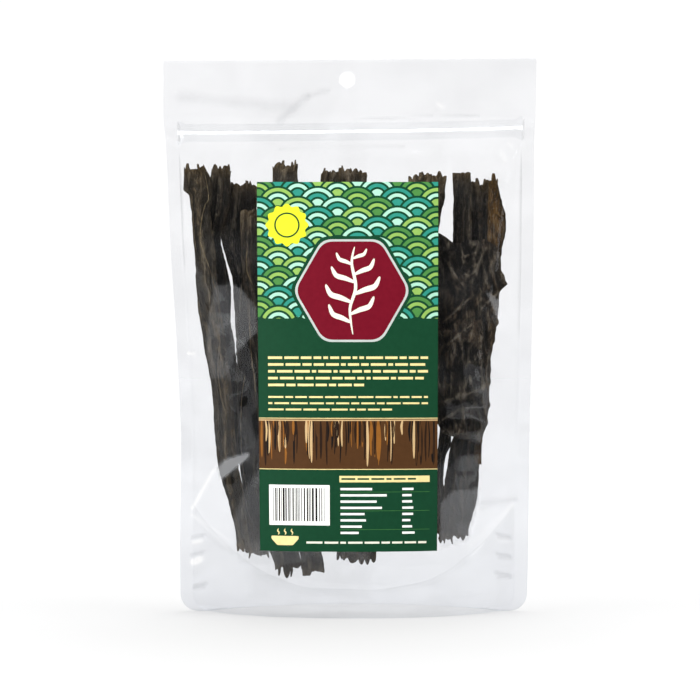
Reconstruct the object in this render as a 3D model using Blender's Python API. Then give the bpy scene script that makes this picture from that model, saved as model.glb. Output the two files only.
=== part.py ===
"""Dried wakame, long folded fronds, in a clear stand-up pouch with a press-to-close strip and a label."""

import math

import bmesh
import bpy
import numpy as np
from mathutils import Vector, noise

MM = 0.001

# Pouch film
POUCH_TOP = 282 * MM
FILM = 0.5 * MM
SKIN_GAP = 0.3 * MM  # between pieces that lie on each other
SEAM_EASE = 3 * MM  # where the film lifts away beside a side seam
CORNER_RADIUS = 9 * MM
CLOSED_HALF_DEPTH = 0.45 * MM  # half the distance between the two films where they are sealed

# Side edges of the film as (height, x), in mm: the pouch narrows as its foot opens
LEFT_EDGE = ((0, -86.4), (31, -86.7), (82, -86.2), (133, -88.2), (184, -91.5), (240, -94.0), (252, -95.2), (282, -95.2))
RIGHT_EDGE = ((0, 90.2), (31, 90.8), (82, 91.5), (133, 92.6), (184, 93.6), (240, 94.0), (252, 94.6), (282, 95.2))

# Half depth of the pouch on its centre line as (height, depth), in mm
BULGE = (
    (0, 31.0), (12, 31.0), (33, 30.0), (82, 28.0), (133, 24.3), (184, 19.0), (210, 14.8),
    (228, 10.0), (237, 4.4), (241.5, 1.9), (243, 1.7), (247, 1.7), (249.5, 0.6), (253, 0.45), (282, 0.45),
)  # fmt: skip
# How full the pouch is towards its sides, as (height, power): high powers keep it deep right up to the seam
FULLNESS = ((0, 2.2), (82, 2.3), (133, 2.7), (184, 3.4), (210, 4.8), (228, 7.0), (237, 12.0), (241.5, 40.0), (282, 40.0))
ROUNDING = ((0, 0.80), (82, 0.78), (184, 0.66), (228, 0.50), (282, 0.50))

# Width of the side seams as (height, width), in mm: the zip's ends lie in them
SEAM = ((0, 6), (237, 6), (241.5, 0.5), (249.5, 0.5), (253, 6), (282, 6))

# Grid lines of the film panels: those beside the label as shares of the way from the seam to it, the rest in mm
SEAM_STEP = 6 * MM
BESIDE_LABEL = (0.22, 0.5, 0.78)
LABEL_COLUMNS = (-46.7, -31, -15.5, 0, 15, 30, 44.3)
FOOT_ROWS = (0, 2, 5, 9)
LABEL_ROWS = (33, 50, 70, 91, 112, 133, 154, 175, 194, 208, 218)
TOP_ROWS = (228, 237, 241.5, 243, 247, 249.5, 253, 262, 282)
PANEL_ROWS = (*FOOT_ROWS, *LABEL_ROWS, *TOP_ROWS)

# Hang hole
HOLE_RADIUS = 4.1 * MM
HOLE_X = -1.4 * MM
HOLE_Z = 271 * MM
HOLE_SIDES = 24

# Press-to-close strip: a rib on the front film enters a channel on the back film
ZIP_Z = 245 * MM
ZIP_HEIGHT = 3.0 * MM
ZIP_LENGTH = 174 * MM
RIB_BACK = -1.1 * MM
RIB_BASE = 0.45 * MM
RIB_BEAD_HEIGHT = 0.7 * MM
RIB_BEAD_DEPTH = 0.6 * MM
CHANNEL_FRONT = -0.35 * MM
CHANNEL_BACK = 1.1 * MM
GROOVE_HEIGHT = 1.4 * MM
GROOVE_DEPTH = 0.7 * MM

# Foot gusset
GUSSET_GAP = 0.8 * MM
GUSSET_SEAL_MIDDLE = 7 * MM
GUSSET_SEAL_SIDE = 34 * MM
GUSSET_RIDGE_MIDDLE = 9 * MM
GUSSET_RIDGE_SIDE = 46 * MM
GUSSET_ARCH = (0.25, 0.6, 0.85, 1.0)  # steps from the front seal to the ridge
GUSSET_INSET = 3  # grid lines of a panel, from its side

# Fronds: the way points of each run from the top to the bottom end, as (x, y, z), with half widths and
# half thicknesses at equal steps along it, all in mm
CRESTS = 7
RINGS = 24
END_INSET = 0.5
END_DEPTH = 5 * MM
FRONDS = {
    "frond_left_outer": {
        "path": ((-78.5, -0.8, 227), (-76.5, -2.6, 208), (-74.3, -4.2, 184), (-71.8, -4.6, 158), (-68.4, -5.4, 133),
                 (-64, -6.5, 107), (-62, -8, 82), (-60, -9.5, 57), (-54.8, -10, 33)),
        "half_width": (6.0, 5.2, 5.0, 4.8, 4.6, 4.8, 4.2, 2.6),
        "half_thick": (2.0, 2.4, 2.6, 2.7, 2.8, 2.8, 2.6, 2.0),
        "seed": 3,
    },
    "frond_left_inner": {
        "path": ((-66.4, 1.0, 226), (-67.4, 2.8, 208), (-69.6, 4.2, 184), (-67, 4.6, 158), (-64.5, 5.2, 133),
                 (-61.5, 6, 107), (-58.5, 7, 82), (-54.5, 8.5, 57), (-48, 7, 28.5)),
        "half_width": (4.6, 5.0, 4.8, 4.8, 4.8, 5.2, 5.6, 6.0),
        "half_thick": (2.0, 2.4, 2.6, 2.7, 2.8, 2.8, 2.6, 2.2),
        "seed": 11,
    },
    "frond_left_back": {
        "path": ((-53.8, 3.4, 218), (-54.6, 3.8, 200), (-54.2, 4, 184), (-52.4, 3.6, 158), (-50.4, 2.6, 133),
                 (-48.6, 1, 107), (-46, -0.5, 82), (-40.5, -2, 57), (-31, -3, 20)),
        "half_width": (6.6, 6.4, 5.6, 5.4, 5.4, 5.6, 6.2, 6.4),
        "half_thick": (2.2, 2.8, 3.0, 3.0, 3.0, 3.0, 2.8, 2.2),
        "seed": 23,
    },
    "frond_left_front": {
        "path": ((-50.5, -5.4, 203), (-50.5, -6.6, 184), (-48.0, -8.2, 158), (-45.5, -10.0, 133),
                 (-42.5, -11.6, 107), (-37, -13.2, 82), (-28, -14.4, 57), (-18.5, -14, 21)),
        "half_width": (5.0, 4.8, 4.8, 5.0, 5.2, 5.4, 5.6, 5.6),
        "half_thick": (2.2, 2.7, 2.8, 2.9, 3.0, 3.0, 2.8, 2.2),
        "seed": 37,
    },
    "frond_middle_left": {
        "path": ((-33.2, 1.0, 228), (-32.4, 2.4, 205), (-31.0, 4, 175), (-29.6, 6, 140), (-28, 8, 105),
                 (-26, 9.5, 70), (-22, 10, 40)),
        "half_width": (6.6, 6.2, 6.0, 6.2, 6.4, 6.4, 5.6, 4.6),
        "half_thick": (1.8, 2.6, 3.0, 3.2, 3.2, 3.0, 2.8, 2.2),
        "seed": 41,
    },
    "frond_middle": {
        "path": ((-9.5, 2.0, 224), (-9.0, 4.0, 200), (-8.2, 6, 170), (-7, 8, 140), (-5, 9.5, 105),
                 (-1.5, 10.5, 70), (3.5, 9, 27)),
        "half_width": (5.6, 6.0, 6.4, 6.6, 6.8, 7.0, 8.0, 10.0),
        "half_thick": (2.0, 2.8, 3.0, 3.2, 3.2, 3.0, 2.6, 2.2),
        "seed": 53,
    },
    "frond_middle_front": {
        "path": ((1.5, -3.0, 224.5), (0.8, -5.2, 200), (-1, -7.4, 170), (-3, -9, 140), (-4.5, -10.5, 105),
                 (-5, -12, 70), (-3, -12, 44)),
        "half_width": (7.2, 7.0, 6.6, 6.4, 6.6, 6.6, 6.0, 4.4),
        "half_thick": (2.0, 2.8, 3.0, 3.2, 3.2, 3.0, 2.8, 2.0),
        "seed": 67,
    },
    "frond_middle_right": {
        "path": ((39.5, 0.5, 222), (38.2, 2.0, 200), (35, 4, 170), (31.5, 6, 140), (28, 8, 105),
                 (25, 9.5, 70), (22.5, 9.5, 36)),
        "half_width": (8.2, 7.4, 6.4, 6.2, 6.4, 6.6, 6.2, 5.2),
        "half_thick": (2.2, 2.8, 3.0, 3.2, 3.2, 3.0, 2.8, 2.2),
        "seed": 71,
    },
    "frond_right_stalk": {
        "path": ((57.2, -0.8, 227), (57.2, -1.2, 205), (57.2, -1.4, 178), (56.4, -1.4, 150), (54, -1.2, 118),
                 (50, -0.8, 86), (43.5, 0, 40)),
        "half_width": (4.8, 4.7, 4.7, 4.9, 5.2, 5.4, 5.2, 4.4),
        "half_thick": (2.7, 2.9, 3.0, 3.0, 3.0, 3.0, 2.8, 2.2),
        "seed": 83,
    },
    "frond_right_inner": {
        "path": ((66.9, 2.6, 221), (67.0, 3.4, 202), (67.0, 4.4, 178), (66.2, 5.0, 150), (64.6, 5.4, 118),
                 (61.4, 6.2, 86), (56.0, 6.6, 36)),
        "half_width": (4.2, 4.4, 4.6, 5.0, 5.6, 6.4, 7.2, 8.2),
        "half_thick": (2.2, 2.6, 2.8, 2.8, 2.8, 2.6, 2.2, 1.8),
        "seed": 97,
    },
    "frond_right_blade": {
        "path": ((75.2, -1.6, 221), (76.2, -1.6, 204), (76.4, -1.2, 186), (76.4, 0.0, 160), (75.2, 0.6, 132),
                 (72.8, 0.6, 104), (69.6, 0, 76)),
        "half_width": (2.4, 4.6, 4.6, 3.4, 3.4, 3.6, 3.4, 2.4),
        "half_thick": (1.1, 1.0, 1.1, 1.6, 2.0, 2.2, 2.0, 1.6),
        "seed": 109,
    },
}  # fmt: skip
CREST_RISE = 0.08
VALLEY_FALL = 0.42
CREST_WANDER = 0.42  # of the space between two crests
WANDER_STEP = 1 / 24  # of noise, for each millimetre along a frond
END_RAGGED = 2.6 * MM

# The broad leaf folded across the right-hand fronds, as a sheet of rows from top to bottom. Each row is
# (height of left end, left x, height of right end, right x), in mm
LEAF_ROWS = (
    (177, 44, 172, 72), (172, 42.5, 168, 78.5), (164, 42, 158, 75.5), (152, 42, 146, 75.6),
    (140, 42.4, 134, 74.8), (127, 43, 121, 73.4), (114, 43.4, 108, 71.6), (101, 44, 96, 69.6), (91, 46.5, 86, 66.5),
)  # fmt: skip
LEAF_STEPS = 9
LEAF_THICK = 1.0 * MM
LEAF_FRONT = 10.8 * MM
LEAF_WRAP = 6.4 * MM
LEAF_FOLD = 1.0 * MM
LEAF_FOLD_TURNS = 3.3
LEAF_FOLD_SLANT = 0.075  # turns of fold for each millimetre of height

FILM_PAINT = (0.86, 0.88, 0.90, 1)
GUSSET_PAINT = (0.80, 0.82, 0.84, 1)
ZIP_PAINT = (0.90, 0.92, 0.94, 1)
LABEL_PAINT = (0.015, 0.06, 0.035, 1)
FROND_PAINT = (0.020, 0.018, 0.014, 1)
BLADE_PAINT = (0.085, 0.052, 0.018, 1)
LEAF_PAINT = (0.026, 0.023, 0.018, 1)


def clear_scene():
    for found in list(bpy.data.objects):
        bpy.data.objects.remove(found)


def collection(name):
    made = bpy.data.collections.new(name)
    bpy.context.scene.collection.children.link(made)
    return made


def paint(name, color, roughness, alpha=1.0):
    made = bpy.data.materials.new(name)
    made.use_nodes = True
    shader = made.node_tree.nodes["Principled BSDF"]
    shader.inputs["Base Color"].default_value = color
    shader.inputs["Roughness"].default_value = roughness
    shader.inputs["Metallic"].default_value = 0
    shader.inputs["Alpha"].default_value = alpha
    made.diffuse_color = (*color[:3], alpha)
    return made


def smooth_through(points, at):
    """The value at a place on a curve that passes through (place, value) points without overshooting."""
    places, values = np.array(points, float).T
    at = min(max(at, places[0]), places[-1])
    steps = np.diff(places)
    slopes = np.diff(values) / steps
    tangents = np.zeros(len(places))
    same_way = slopes[1:] * slopes[:-1] > 0
    tangents[1:-1][same_way] = 2 / (1 / slopes[1:][same_way] + 1 / slopes[:-1][same_way])
    i = min(int(np.searchsorted(places, at, side="right")) - 1, len(steps) - 1)
    t = (at - places[i]) / steps[i]
    return float(
        values[i] * (1 + 2 * t) * (1 - t) ** 2
        + tangents[i] * steps[i] * t * (1 - t) ** 2
        + values[i + 1] * t * t * (3 - 2 * t)
        - tangents[i + 1] * steps[i] * t * t * (1 - t)
    )


def corner_cut(z):
    if z >= CORNER_RADIUS:
        return 0.0
    return CORNER_RADIUS - math.sqrt(CORNER_RADIUS**2 - (CORNER_RADIUS - z) ** 2)


def edges_at(z):
    """Left and right edge of the pouch at a height."""
    cut = corner_cut(z)
    return smooth_through(LEFT_EDGE, z / MM) * MM + cut, smooth_through(RIGHT_EDGE, z / MM) * MM - cut


def half_depth(x, z):
    """Distance of a film's middle from the pouch's middle plane."""
    left, right = edges_at(z)
    middle, reach = (left + right) / 2, (right - left) / 2 - smooth_through(SEAM, z / MM) * MM
    across = min(1.0, abs(x - middle) / reach)
    full = smooth_through(FULLNESS, z / MM)
    swell = (1 - across**full) ** smooth_through(ROUNDING, z / MM)
    deepest = smooth_through(BULGE, z / MM) * MM
    return CLOSED_HALF_DEPTH + (deepest - CLOSED_HALF_DEPTH) * swell


def panel_columns(z):
    """The x of each grid line of a film panel at a height."""
    left, right = edges_at(z)
    label = [x * MM for x in LABEL_COLUMNS]
    seam_left, seam_right = left + SEAM_STEP, right - SEAM_STEP
    ease_left, ease_right = seam_left + SEAM_EASE, seam_right - SEAM_EASE
    beside_left = [ease_left + (label[0] - ease_left) * share for share in BESIDE_LABEL]
    beside_right = [ease_right + (label[-1] - ease_right) * share for share in BESIDE_LABEL[::-1]]
    return [left, seam_left, ease_left, *beside_left, *label, *beside_right, ease_right, seam_right, right]


def skin_row(z, offset):
    """The front film's grid points at a height, moved outward in that level by an offset from its middle."""
    columns = np.array(panel_columns(z))
    depths = np.array([half_depth(x, z) for x in columns])
    slope = np.gradient(depths, columns)
    slope[[0, -1]] = 0
    length = np.sqrt(1 + slope**2)
    return np.stack([columns - offset * slope / length, -depths - offset / length, np.full(len(columns), z)], 1)


def skin_point(column, z, offset):
    """A point on one of the film's grid lines, between two of its rows."""
    above = next(i for i in range(1, len(PANEL_ROWS)) if PANEL_ROWS[i] * MM >= z)
    low, high = PANEL_ROWS[above - 1] * MM, PANEL_ROWS[above] * MM
    share = (z - low) / (high - low)
    return skin_row(low, offset)[column] * (1 - share) + skin_row(high, offset)[column] * share


def mesh_object(name, points, faces, group, material):
    mesh = bpy.data.meshes.new(name)
    mesh.from_pydata([tuple(p) for p in points], [], faces)
    mesh.materials.append(material)
    made = bpy.data.objects.new(name, mesh)
    group.objects.link(made)
    return made


def recalculate_normals(target):
    work = bmesh.new()
    work.from_mesh(target.data)
    bmesh.ops.recalc_face_normals(work, faces=work.faces)
    work.to_mesh(target.data)
    work.free()


def grid_faces(rows, columns, start=0):
    faces = []
    for r in range(rows - 1):
        for c in range(columns - 1):
            a = start + r * columns + c
            faces += [(a, a + 1, a + columns + 1), (a, a + columns + 1, a + columns)]
    return faces


def shell(name, outer, inner, group, material):
    """A closed sheet between two grids of points."""
    outer, inner = np.array(outer), np.array(inner)
    rows, columns = outer.shape[:2]
    count = rows * columns
    faces = grid_faces(rows, columns) + [face[::-1] for face in grid_faces(rows, columns, count)]
    rim = (
        list(range(columns))
        + [r * columns + columns - 1 for r in range(1, rows)]
        + [(rows - 1) * columns + c for c in range(columns - 2, -1, -1)]
        + [r * columns for r in range(rows - 2, 0, -1)]
    )
    for i, a in enumerate(rim):
        b = rim[(i + 1) % len(rim)]
        faces.append((b, a, a + count, b + count))
    points = np.concatenate([outer.reshape(-1, 3), inner.reshape(-1, 3)])
    made = mesh_object(name, points, faces, group, material)
    recalculate_normals(made)
    return made


def film_panel(name, side, group, material):
    """One wall of the pouch: side is -1 for the front and 1 for the back."""
    skins = [np.array([skin_row(z * MM, offset) for z in PANEL_ROWS]) for offset in (FILM / 2, -FILM / 2)]
    for skin in skins:
        skin[:, :, 1] *= -side
    return shell(name, *skins, group, material)


def hang_hole(panels, group):
    bpy.ops.mesh.primitive_cylinder_add(
        vertices=HOLE_SIDES, radius=HOLE_RADIUS, depth=10 * MM, location=(HOLE_X, 0, HOLE_Z), rotation=(math.pi / 2, 0, 0)
    )
    cutter = bpy.context.object
    cutter.name = "hole_cutter"
    for owner in list(cutter.users_collection):
        owner.objects.unlink(cutter)
    group.objects.link(cutter)
    cutter.hide_render = True
    cutter.display_type = "WIRE"
    for panel in panels:
        cut = panel.modifiers.new("hang_hole", "BOOLEAN")
        cut.operation = "DIFFERENCE"
        cut.object = cutter


def label_sheet(group, material):
    """The label, which lies on the front film and shares its grid lines."""
    first = panel_columns(0).index(LABEL_COLUMNS[0] * MM)
    part_of_row = slice(first, first + len(LABEL_COLUMNS))
    near = FILM / 2 + SKIN_GAP
    skins = [[skin_row(z * MM, offset)[part_of_row] for z in LABEL_ROWS] for offset in (near + FILM, near)]
    return shell("label", *skins, group, material)


def gusset_heights(x):
    """Height of the gusset's seal to a panel, and of its ridge, at a place along the foot."""
    left, right = edges_at(CORNER_RADIUS)
    out = abs(x - (left + right) / 2) / ((right - left) / 2)
    seal = GUSSET_SEAL_MIDDLE + (GUSSET_SEAL_SIDE - GUSSET_SEAL_MIDDLE) * out**3
    ridge = GUSSET_RIDGE_MIDDLE + (GUSSET_RIDGE_SIDE - GUSSET_RIDGE_MIDDLE) * out**2.4
    return seal, ridge


def gusset(group, material):
    """The folded foot: it is sealed inside both panels and arches up between them."""
    outside = -(FILM / 2 + GUSSET_GAP)
    skins = ([], [])
    for c in range(GUSSET_INSET, len(panel_columns(0)) - GUSSET_INSET):
        seal, ridge = gusset_heights(panel_columns(CORNER_RADIUS)[c])
        heights = (0, 2 * MM, 5 * MM, min(9 * MM, (5 * MM + seal) / 2))
        for skin, offset, rise in zip(skins, (outside, outside - FILM), (0, -FILM)):
            front = [skin_point(c, z, offset) for z in (*heights, seal + rise)]
            x, y, _ = front[-1]
            for step in GUSSET_ARCH:
                arch = (ridge - seal) * (1 - (1 - step) ** 2) ** 0.8 + rise
                front.append(np.array((x, y * (1 - step), seal + arch)))
            skin.append(front + [point * (1, -1, 1) for point in front[-2::-1]])
    return shell("gusset", *skins, group, material)


def extruded_profile(name, outline, group, material):
    """A (y, z) outline drawn out along the pouch's width."""
    curve = bpy.data.curves.new(name, "CURVE")
    curve.dimensions = "2D"
    curve.fill_mode = "BOTH"
    curve.extrude = ZIP_LENGTH / 2
    line = curve.splines.new("POLY")
    line.points.add(len(outline) - 1)
    for point, (y, z) in zip(line.points, outline):
        point.co = (y, z, 0, 1)
    line.use_cyclic_u = True
    curve.materials.append(material)
    made = bpy.data.objects.new(name, curve)
    made.rotation_euler = (math.pi / 2, 0, math.pi / 2)
    group.objects.link(made)


def zip_strip(group, material):
    low, high = ZIP_Z - ZIP_HEIGHT / 2, ZIP_Z + ZIP_HEIGHT / 2
    bead = RIB_BEAD_HEIGHT / 2
    face = RIB_BACK + RIB_BASE
    rib = (
        (RIB_BACK, low), (face, low), (face, ZIP_Z - bead), (face + RIB_BEAD_DEPTH, ZIP_Z - bead),
        (face + RIB_BEAD_DEPTH, ZIP_Z + bead), (face, ZIP_Z + bead), (face, high), (RIB_BACK, high),
    )  # fmt: skip
    groove = GROOVE_HEIGHT / 2
    floor = CHANNEL_FRONT + GROOVE_DEPTH
    channel = (
        (CHANNEL_FRONT, low), (CHANNEL_BACK, low), (CHANNEL_BACK, high), (CHANNEL_FRONT, high),
        (CHANNEL_FRONT, ZIP_Z + groove), (floor, ZIP_Z + groove), (floor, ZIP_Z - groove), (CHANNEL_FRONT, ZIP_Z - groove),
    )  # fmt: skip
    for name, outline in (("zip_rib", rib), ("zip_channel", channel)):
        extruded_profile(name, outline, group, material)


def wave(*place):
    """Smooth noise between about -1 and 1."""
    return noise.noise(Vector(place))


def along(values, s):
    """A value at share s of a list of values at equal steps."""
    return smooth_through([(i / (len(values) - 1), v) for i, v in enumerate(values)], s)


def way_point(path, s):
    """The point at share s of the way down a frond's path."""
    heights = [-p[2] for p in path]
    z = -(heights[0] + (heights[-1] - heights[0]) * s)
    x = smooth_through([(-p[2], p[0]) for p in path], -z)
    y = smooth_through([(-p[2], p[1]) for p in path], -z)
    return Vector((x, y, z)) * MM


def frond_ring(frond, s):
    """The folded outline of a frond at share s, as (sideways, depth) pairs that alternate crest and valley."""
    wide = along(frond["half_width"], s) * MM
    thick = along(frond["half_thick"], s) * MM
    length = frond["path"][0][2] - frond["path"][-1][2]
    down = s * length * WANDER_STEP
    outline = []
    for k in range(2 * CRESTS):
        seed = frond["seed"] + 3.7 * k
        turn = (k + CREST_WANDER * wave(seed, down, 0.5)) * math.pi / CRESTS
        lift = 0.75 + 0.7 * wave(seed, down * 1.3, 7.5)
        out = 1 + (CREST_RISE * lift if k % 2 == 0 else -VALLEY_FALL * lift)
        outline.append((wide * math.cos(turn) * out, thick * math.sin(turn) * out))
    return outline


def frond_body(name, frond, group, material):
    """A frond dried into lengthwise folds, with ragged, hollow cut ends."""
    path = frond["path"]
    rings = []
    for r in range(RINGS):
        s = r / (RINGS - 1)
        centre = way_point(path, s)
        end = {0: 1, RINGS - 1: -1}.get(r, 0)
        ring = []
        for k, (side, depth) in enumerate(frond_ring(frond, s)):
            rag = end * END_RAGGED * wave(frond["seed"] * 1.9, k * 2.3, 3.5 * end)
            ring.append(centre + Vector((side, depth, rag)))
        if end:
            inner_s = s + end * END_DEPTH / ((path[0][2] - path[-1][2]) * MM)
            inner = way_point(path, inner_s)
            sunk = [inner + Vector((side, depth, 0)) * END_INSET for side, depth in frond_ring(frond, inner_s)]
            rings += [sunk, ring] if end == 1 else [ring, sunk]
        else:
            rings.append(ring)
    count = 2 * CRESTS
    points = [p for ring in rings for p in ring]
    faces = []
    for r in range(len(rings) - 1):
        for k in range(count):
            a, b = r * count + k, r * count + (k + 1) % count
            faces.append((a, b, b + count, a + count))
    last = (len(rings) - 1) * count
    middles = [sum(rings[0], Vector()) / count, sum(rings[-1], Vector()) / count]
    points += middles
    for k in range(count):
        step = (k + 1) % count
        faces.append((step, k, len(points) - 2))
        faces.append((last + k, last + step, len(points) - 1))
    made = mesh_object(name, points, faces, group, material)
    recalculate_normals(made)
    return made


def leaf_depth(across, z):
    """How far in front of the pouch's middle the broad leaf lies: it bows forward and is pleated on a slant."""
    bow = LEAF_FRONT - LEAF_WRAP * abs(2 * across - 0.9) ** 2.2
    pleat = LEAF_FOLD_TURNS * across + LEAF_FOLD_SLANT * z / MM
    return bow + LEAF_FOLD * (2 * abs(2 * (pleat % 1) - 1) - 1) * (1 - 0.5 * across)


def broad_leaf(group, material):
    skins = ([], [])
    for row in LEAF_ROWS:
        left_z, left_x, right_z, right_x = (v * MM for v in row)
        for skin, offset in zip(skins, (LEAF_THICK / 2, -LEAF_THICK / 2)):
            line = []
            for across in np.linspace(0, 1, LEAF_STEPS + 1):
                z = left_z + (right_z - left_z) * across
                line.append((left_x + (right_x - left_x) * across, -leaf_depth(across, z) - offset, z))
            skin.append(line)
    return shell("leaf_right", *skins, group, material)


def main():
    clear_scene()
    pouch = collection("wakame_pouch")
    cutters = collection("cutters")
    film = paint("film", FILM_PAINT, 0.08, alpha=0.25)
    panels = [film_panel("film_front", -1, pouch, film), film_panel("film_back", 1, pouch, film)]
    hang_hole(panels, cutters)
    gusset(pouch, paint("gusset_film", GUSSET_PAINT, 0.1, alpha=0.3))
    zip_strip(pouch, paint("zip", ZIP_PAINT, 0.2, alpha=0.5))
    label_sheet(pouch, paint("label", LABEL_PAINT, 0.3))
    frond_paint = paint("wakame", FROND_PAINT, 0.55)
    blade_paint = paint("wakame_blade", BLADE_PAINT, 0.45)
    for name, frond in FRONDS.items():
        frond_body(name, frond, pouch, blade_paint if name == "frond_right_blade" else frond_paint)
    broad_leaf(pouch, paint("wakame_leaf", LEAF_PAINT, 0.5))


main()
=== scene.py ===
"""Looks of the pouch of dried wakame: crinkled film, folded fronds, a printed label and a plain studio."""

import math

import bpy
import numpy as np
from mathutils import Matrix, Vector, geometry


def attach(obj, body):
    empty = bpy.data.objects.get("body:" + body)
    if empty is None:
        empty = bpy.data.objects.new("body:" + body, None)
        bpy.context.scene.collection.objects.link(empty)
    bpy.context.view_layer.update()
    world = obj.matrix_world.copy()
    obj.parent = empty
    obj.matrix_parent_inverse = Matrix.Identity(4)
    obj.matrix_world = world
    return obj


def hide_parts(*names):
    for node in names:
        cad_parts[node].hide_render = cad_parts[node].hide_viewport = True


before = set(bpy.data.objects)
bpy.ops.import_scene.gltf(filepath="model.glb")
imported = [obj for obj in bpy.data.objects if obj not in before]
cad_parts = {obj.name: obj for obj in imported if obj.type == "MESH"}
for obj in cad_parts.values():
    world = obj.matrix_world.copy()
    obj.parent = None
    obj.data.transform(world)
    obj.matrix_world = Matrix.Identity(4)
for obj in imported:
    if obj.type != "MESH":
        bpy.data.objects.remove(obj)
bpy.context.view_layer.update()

MM = 0.001

# Pouch, in mm, as in the part's source; a row of pairs gives a value at each height
POUCH_TOP = 282
CORNER_RADIUS = 9
LEFT_EDGE = (
    (0, -86.4), (31, -86.7), (82, -86.2), (133, -88.2), (184, -91.5), (240, -94), (252, -95.2), (282, -95.2),
)
RIGHT_EDGE = (
    (0, 90.2), (31, 90.8), (82, 91.5), (133, 92.6), (184, 93.6), (240, 94), (252, 94.6), (282, 95.2),
)
BULGE = (
    (0, 31), (12, 31), (33, 30), (82, 28), (133, 24.3), (184, 19), (210, 14.8), (228, 10), (237, 4.4),
    (241.5, 1.9), (243, 1.7), (247, 1.7), (249.5, 0.6), (253, 0.2), (282, 0.2),
)
FULLNESS = (
    (0, 2.2), (82, 2.3), (133, 2.7), (184, 3.4), (210, 4.8), (228, 7), (237, 12), (241.5, 40), (282, 40),
)
ROUNDING = ((0, 0.8), (82, 0.78), (184, 0.66), (228, 0.5), (282, 0.5))
SEAM = ((0, 6), (237, 6), (241.5, 0.5), (249.5, 0.5), (253, 6), (282, 6))
FILM = 0.16  # thickness
CLOSED_HALF_DEPTH = 0.13  # half the distance between the two films where they are sealed
DEEPEST = 31.15  # how far the film may stand out of the middle plane
HEADER_Z = 251  # where the sealed top begins

HOLE_X, HOLE_Z, HOLE_RADIUS = -1.4, 271, 4.1

ZIP_Z = 245
ZIP_SLOPE = 0.014  # the strip rises towards +X
ZIP_HALF = 87
BEAD_HALF_HEIGHT = 0.8

# Height of the gusset's seal and of its ridge, at the middle and at the sides
GUSSET_SEAL = (6, 40)
GUSSET_RIDGE = (10, 55)

LABEL_BOTTOM, LABEL_TOP = 33, 217.8
LABEL_LEFT = (-44.9, -46.9)  # at the bottom and at the top
LABEL_RIGHT = (43.4, 44.4)
LABEL_WIDTH, LABEL_HEIGHT, LABEL_THICK = 91, 185, 0.2

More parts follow.
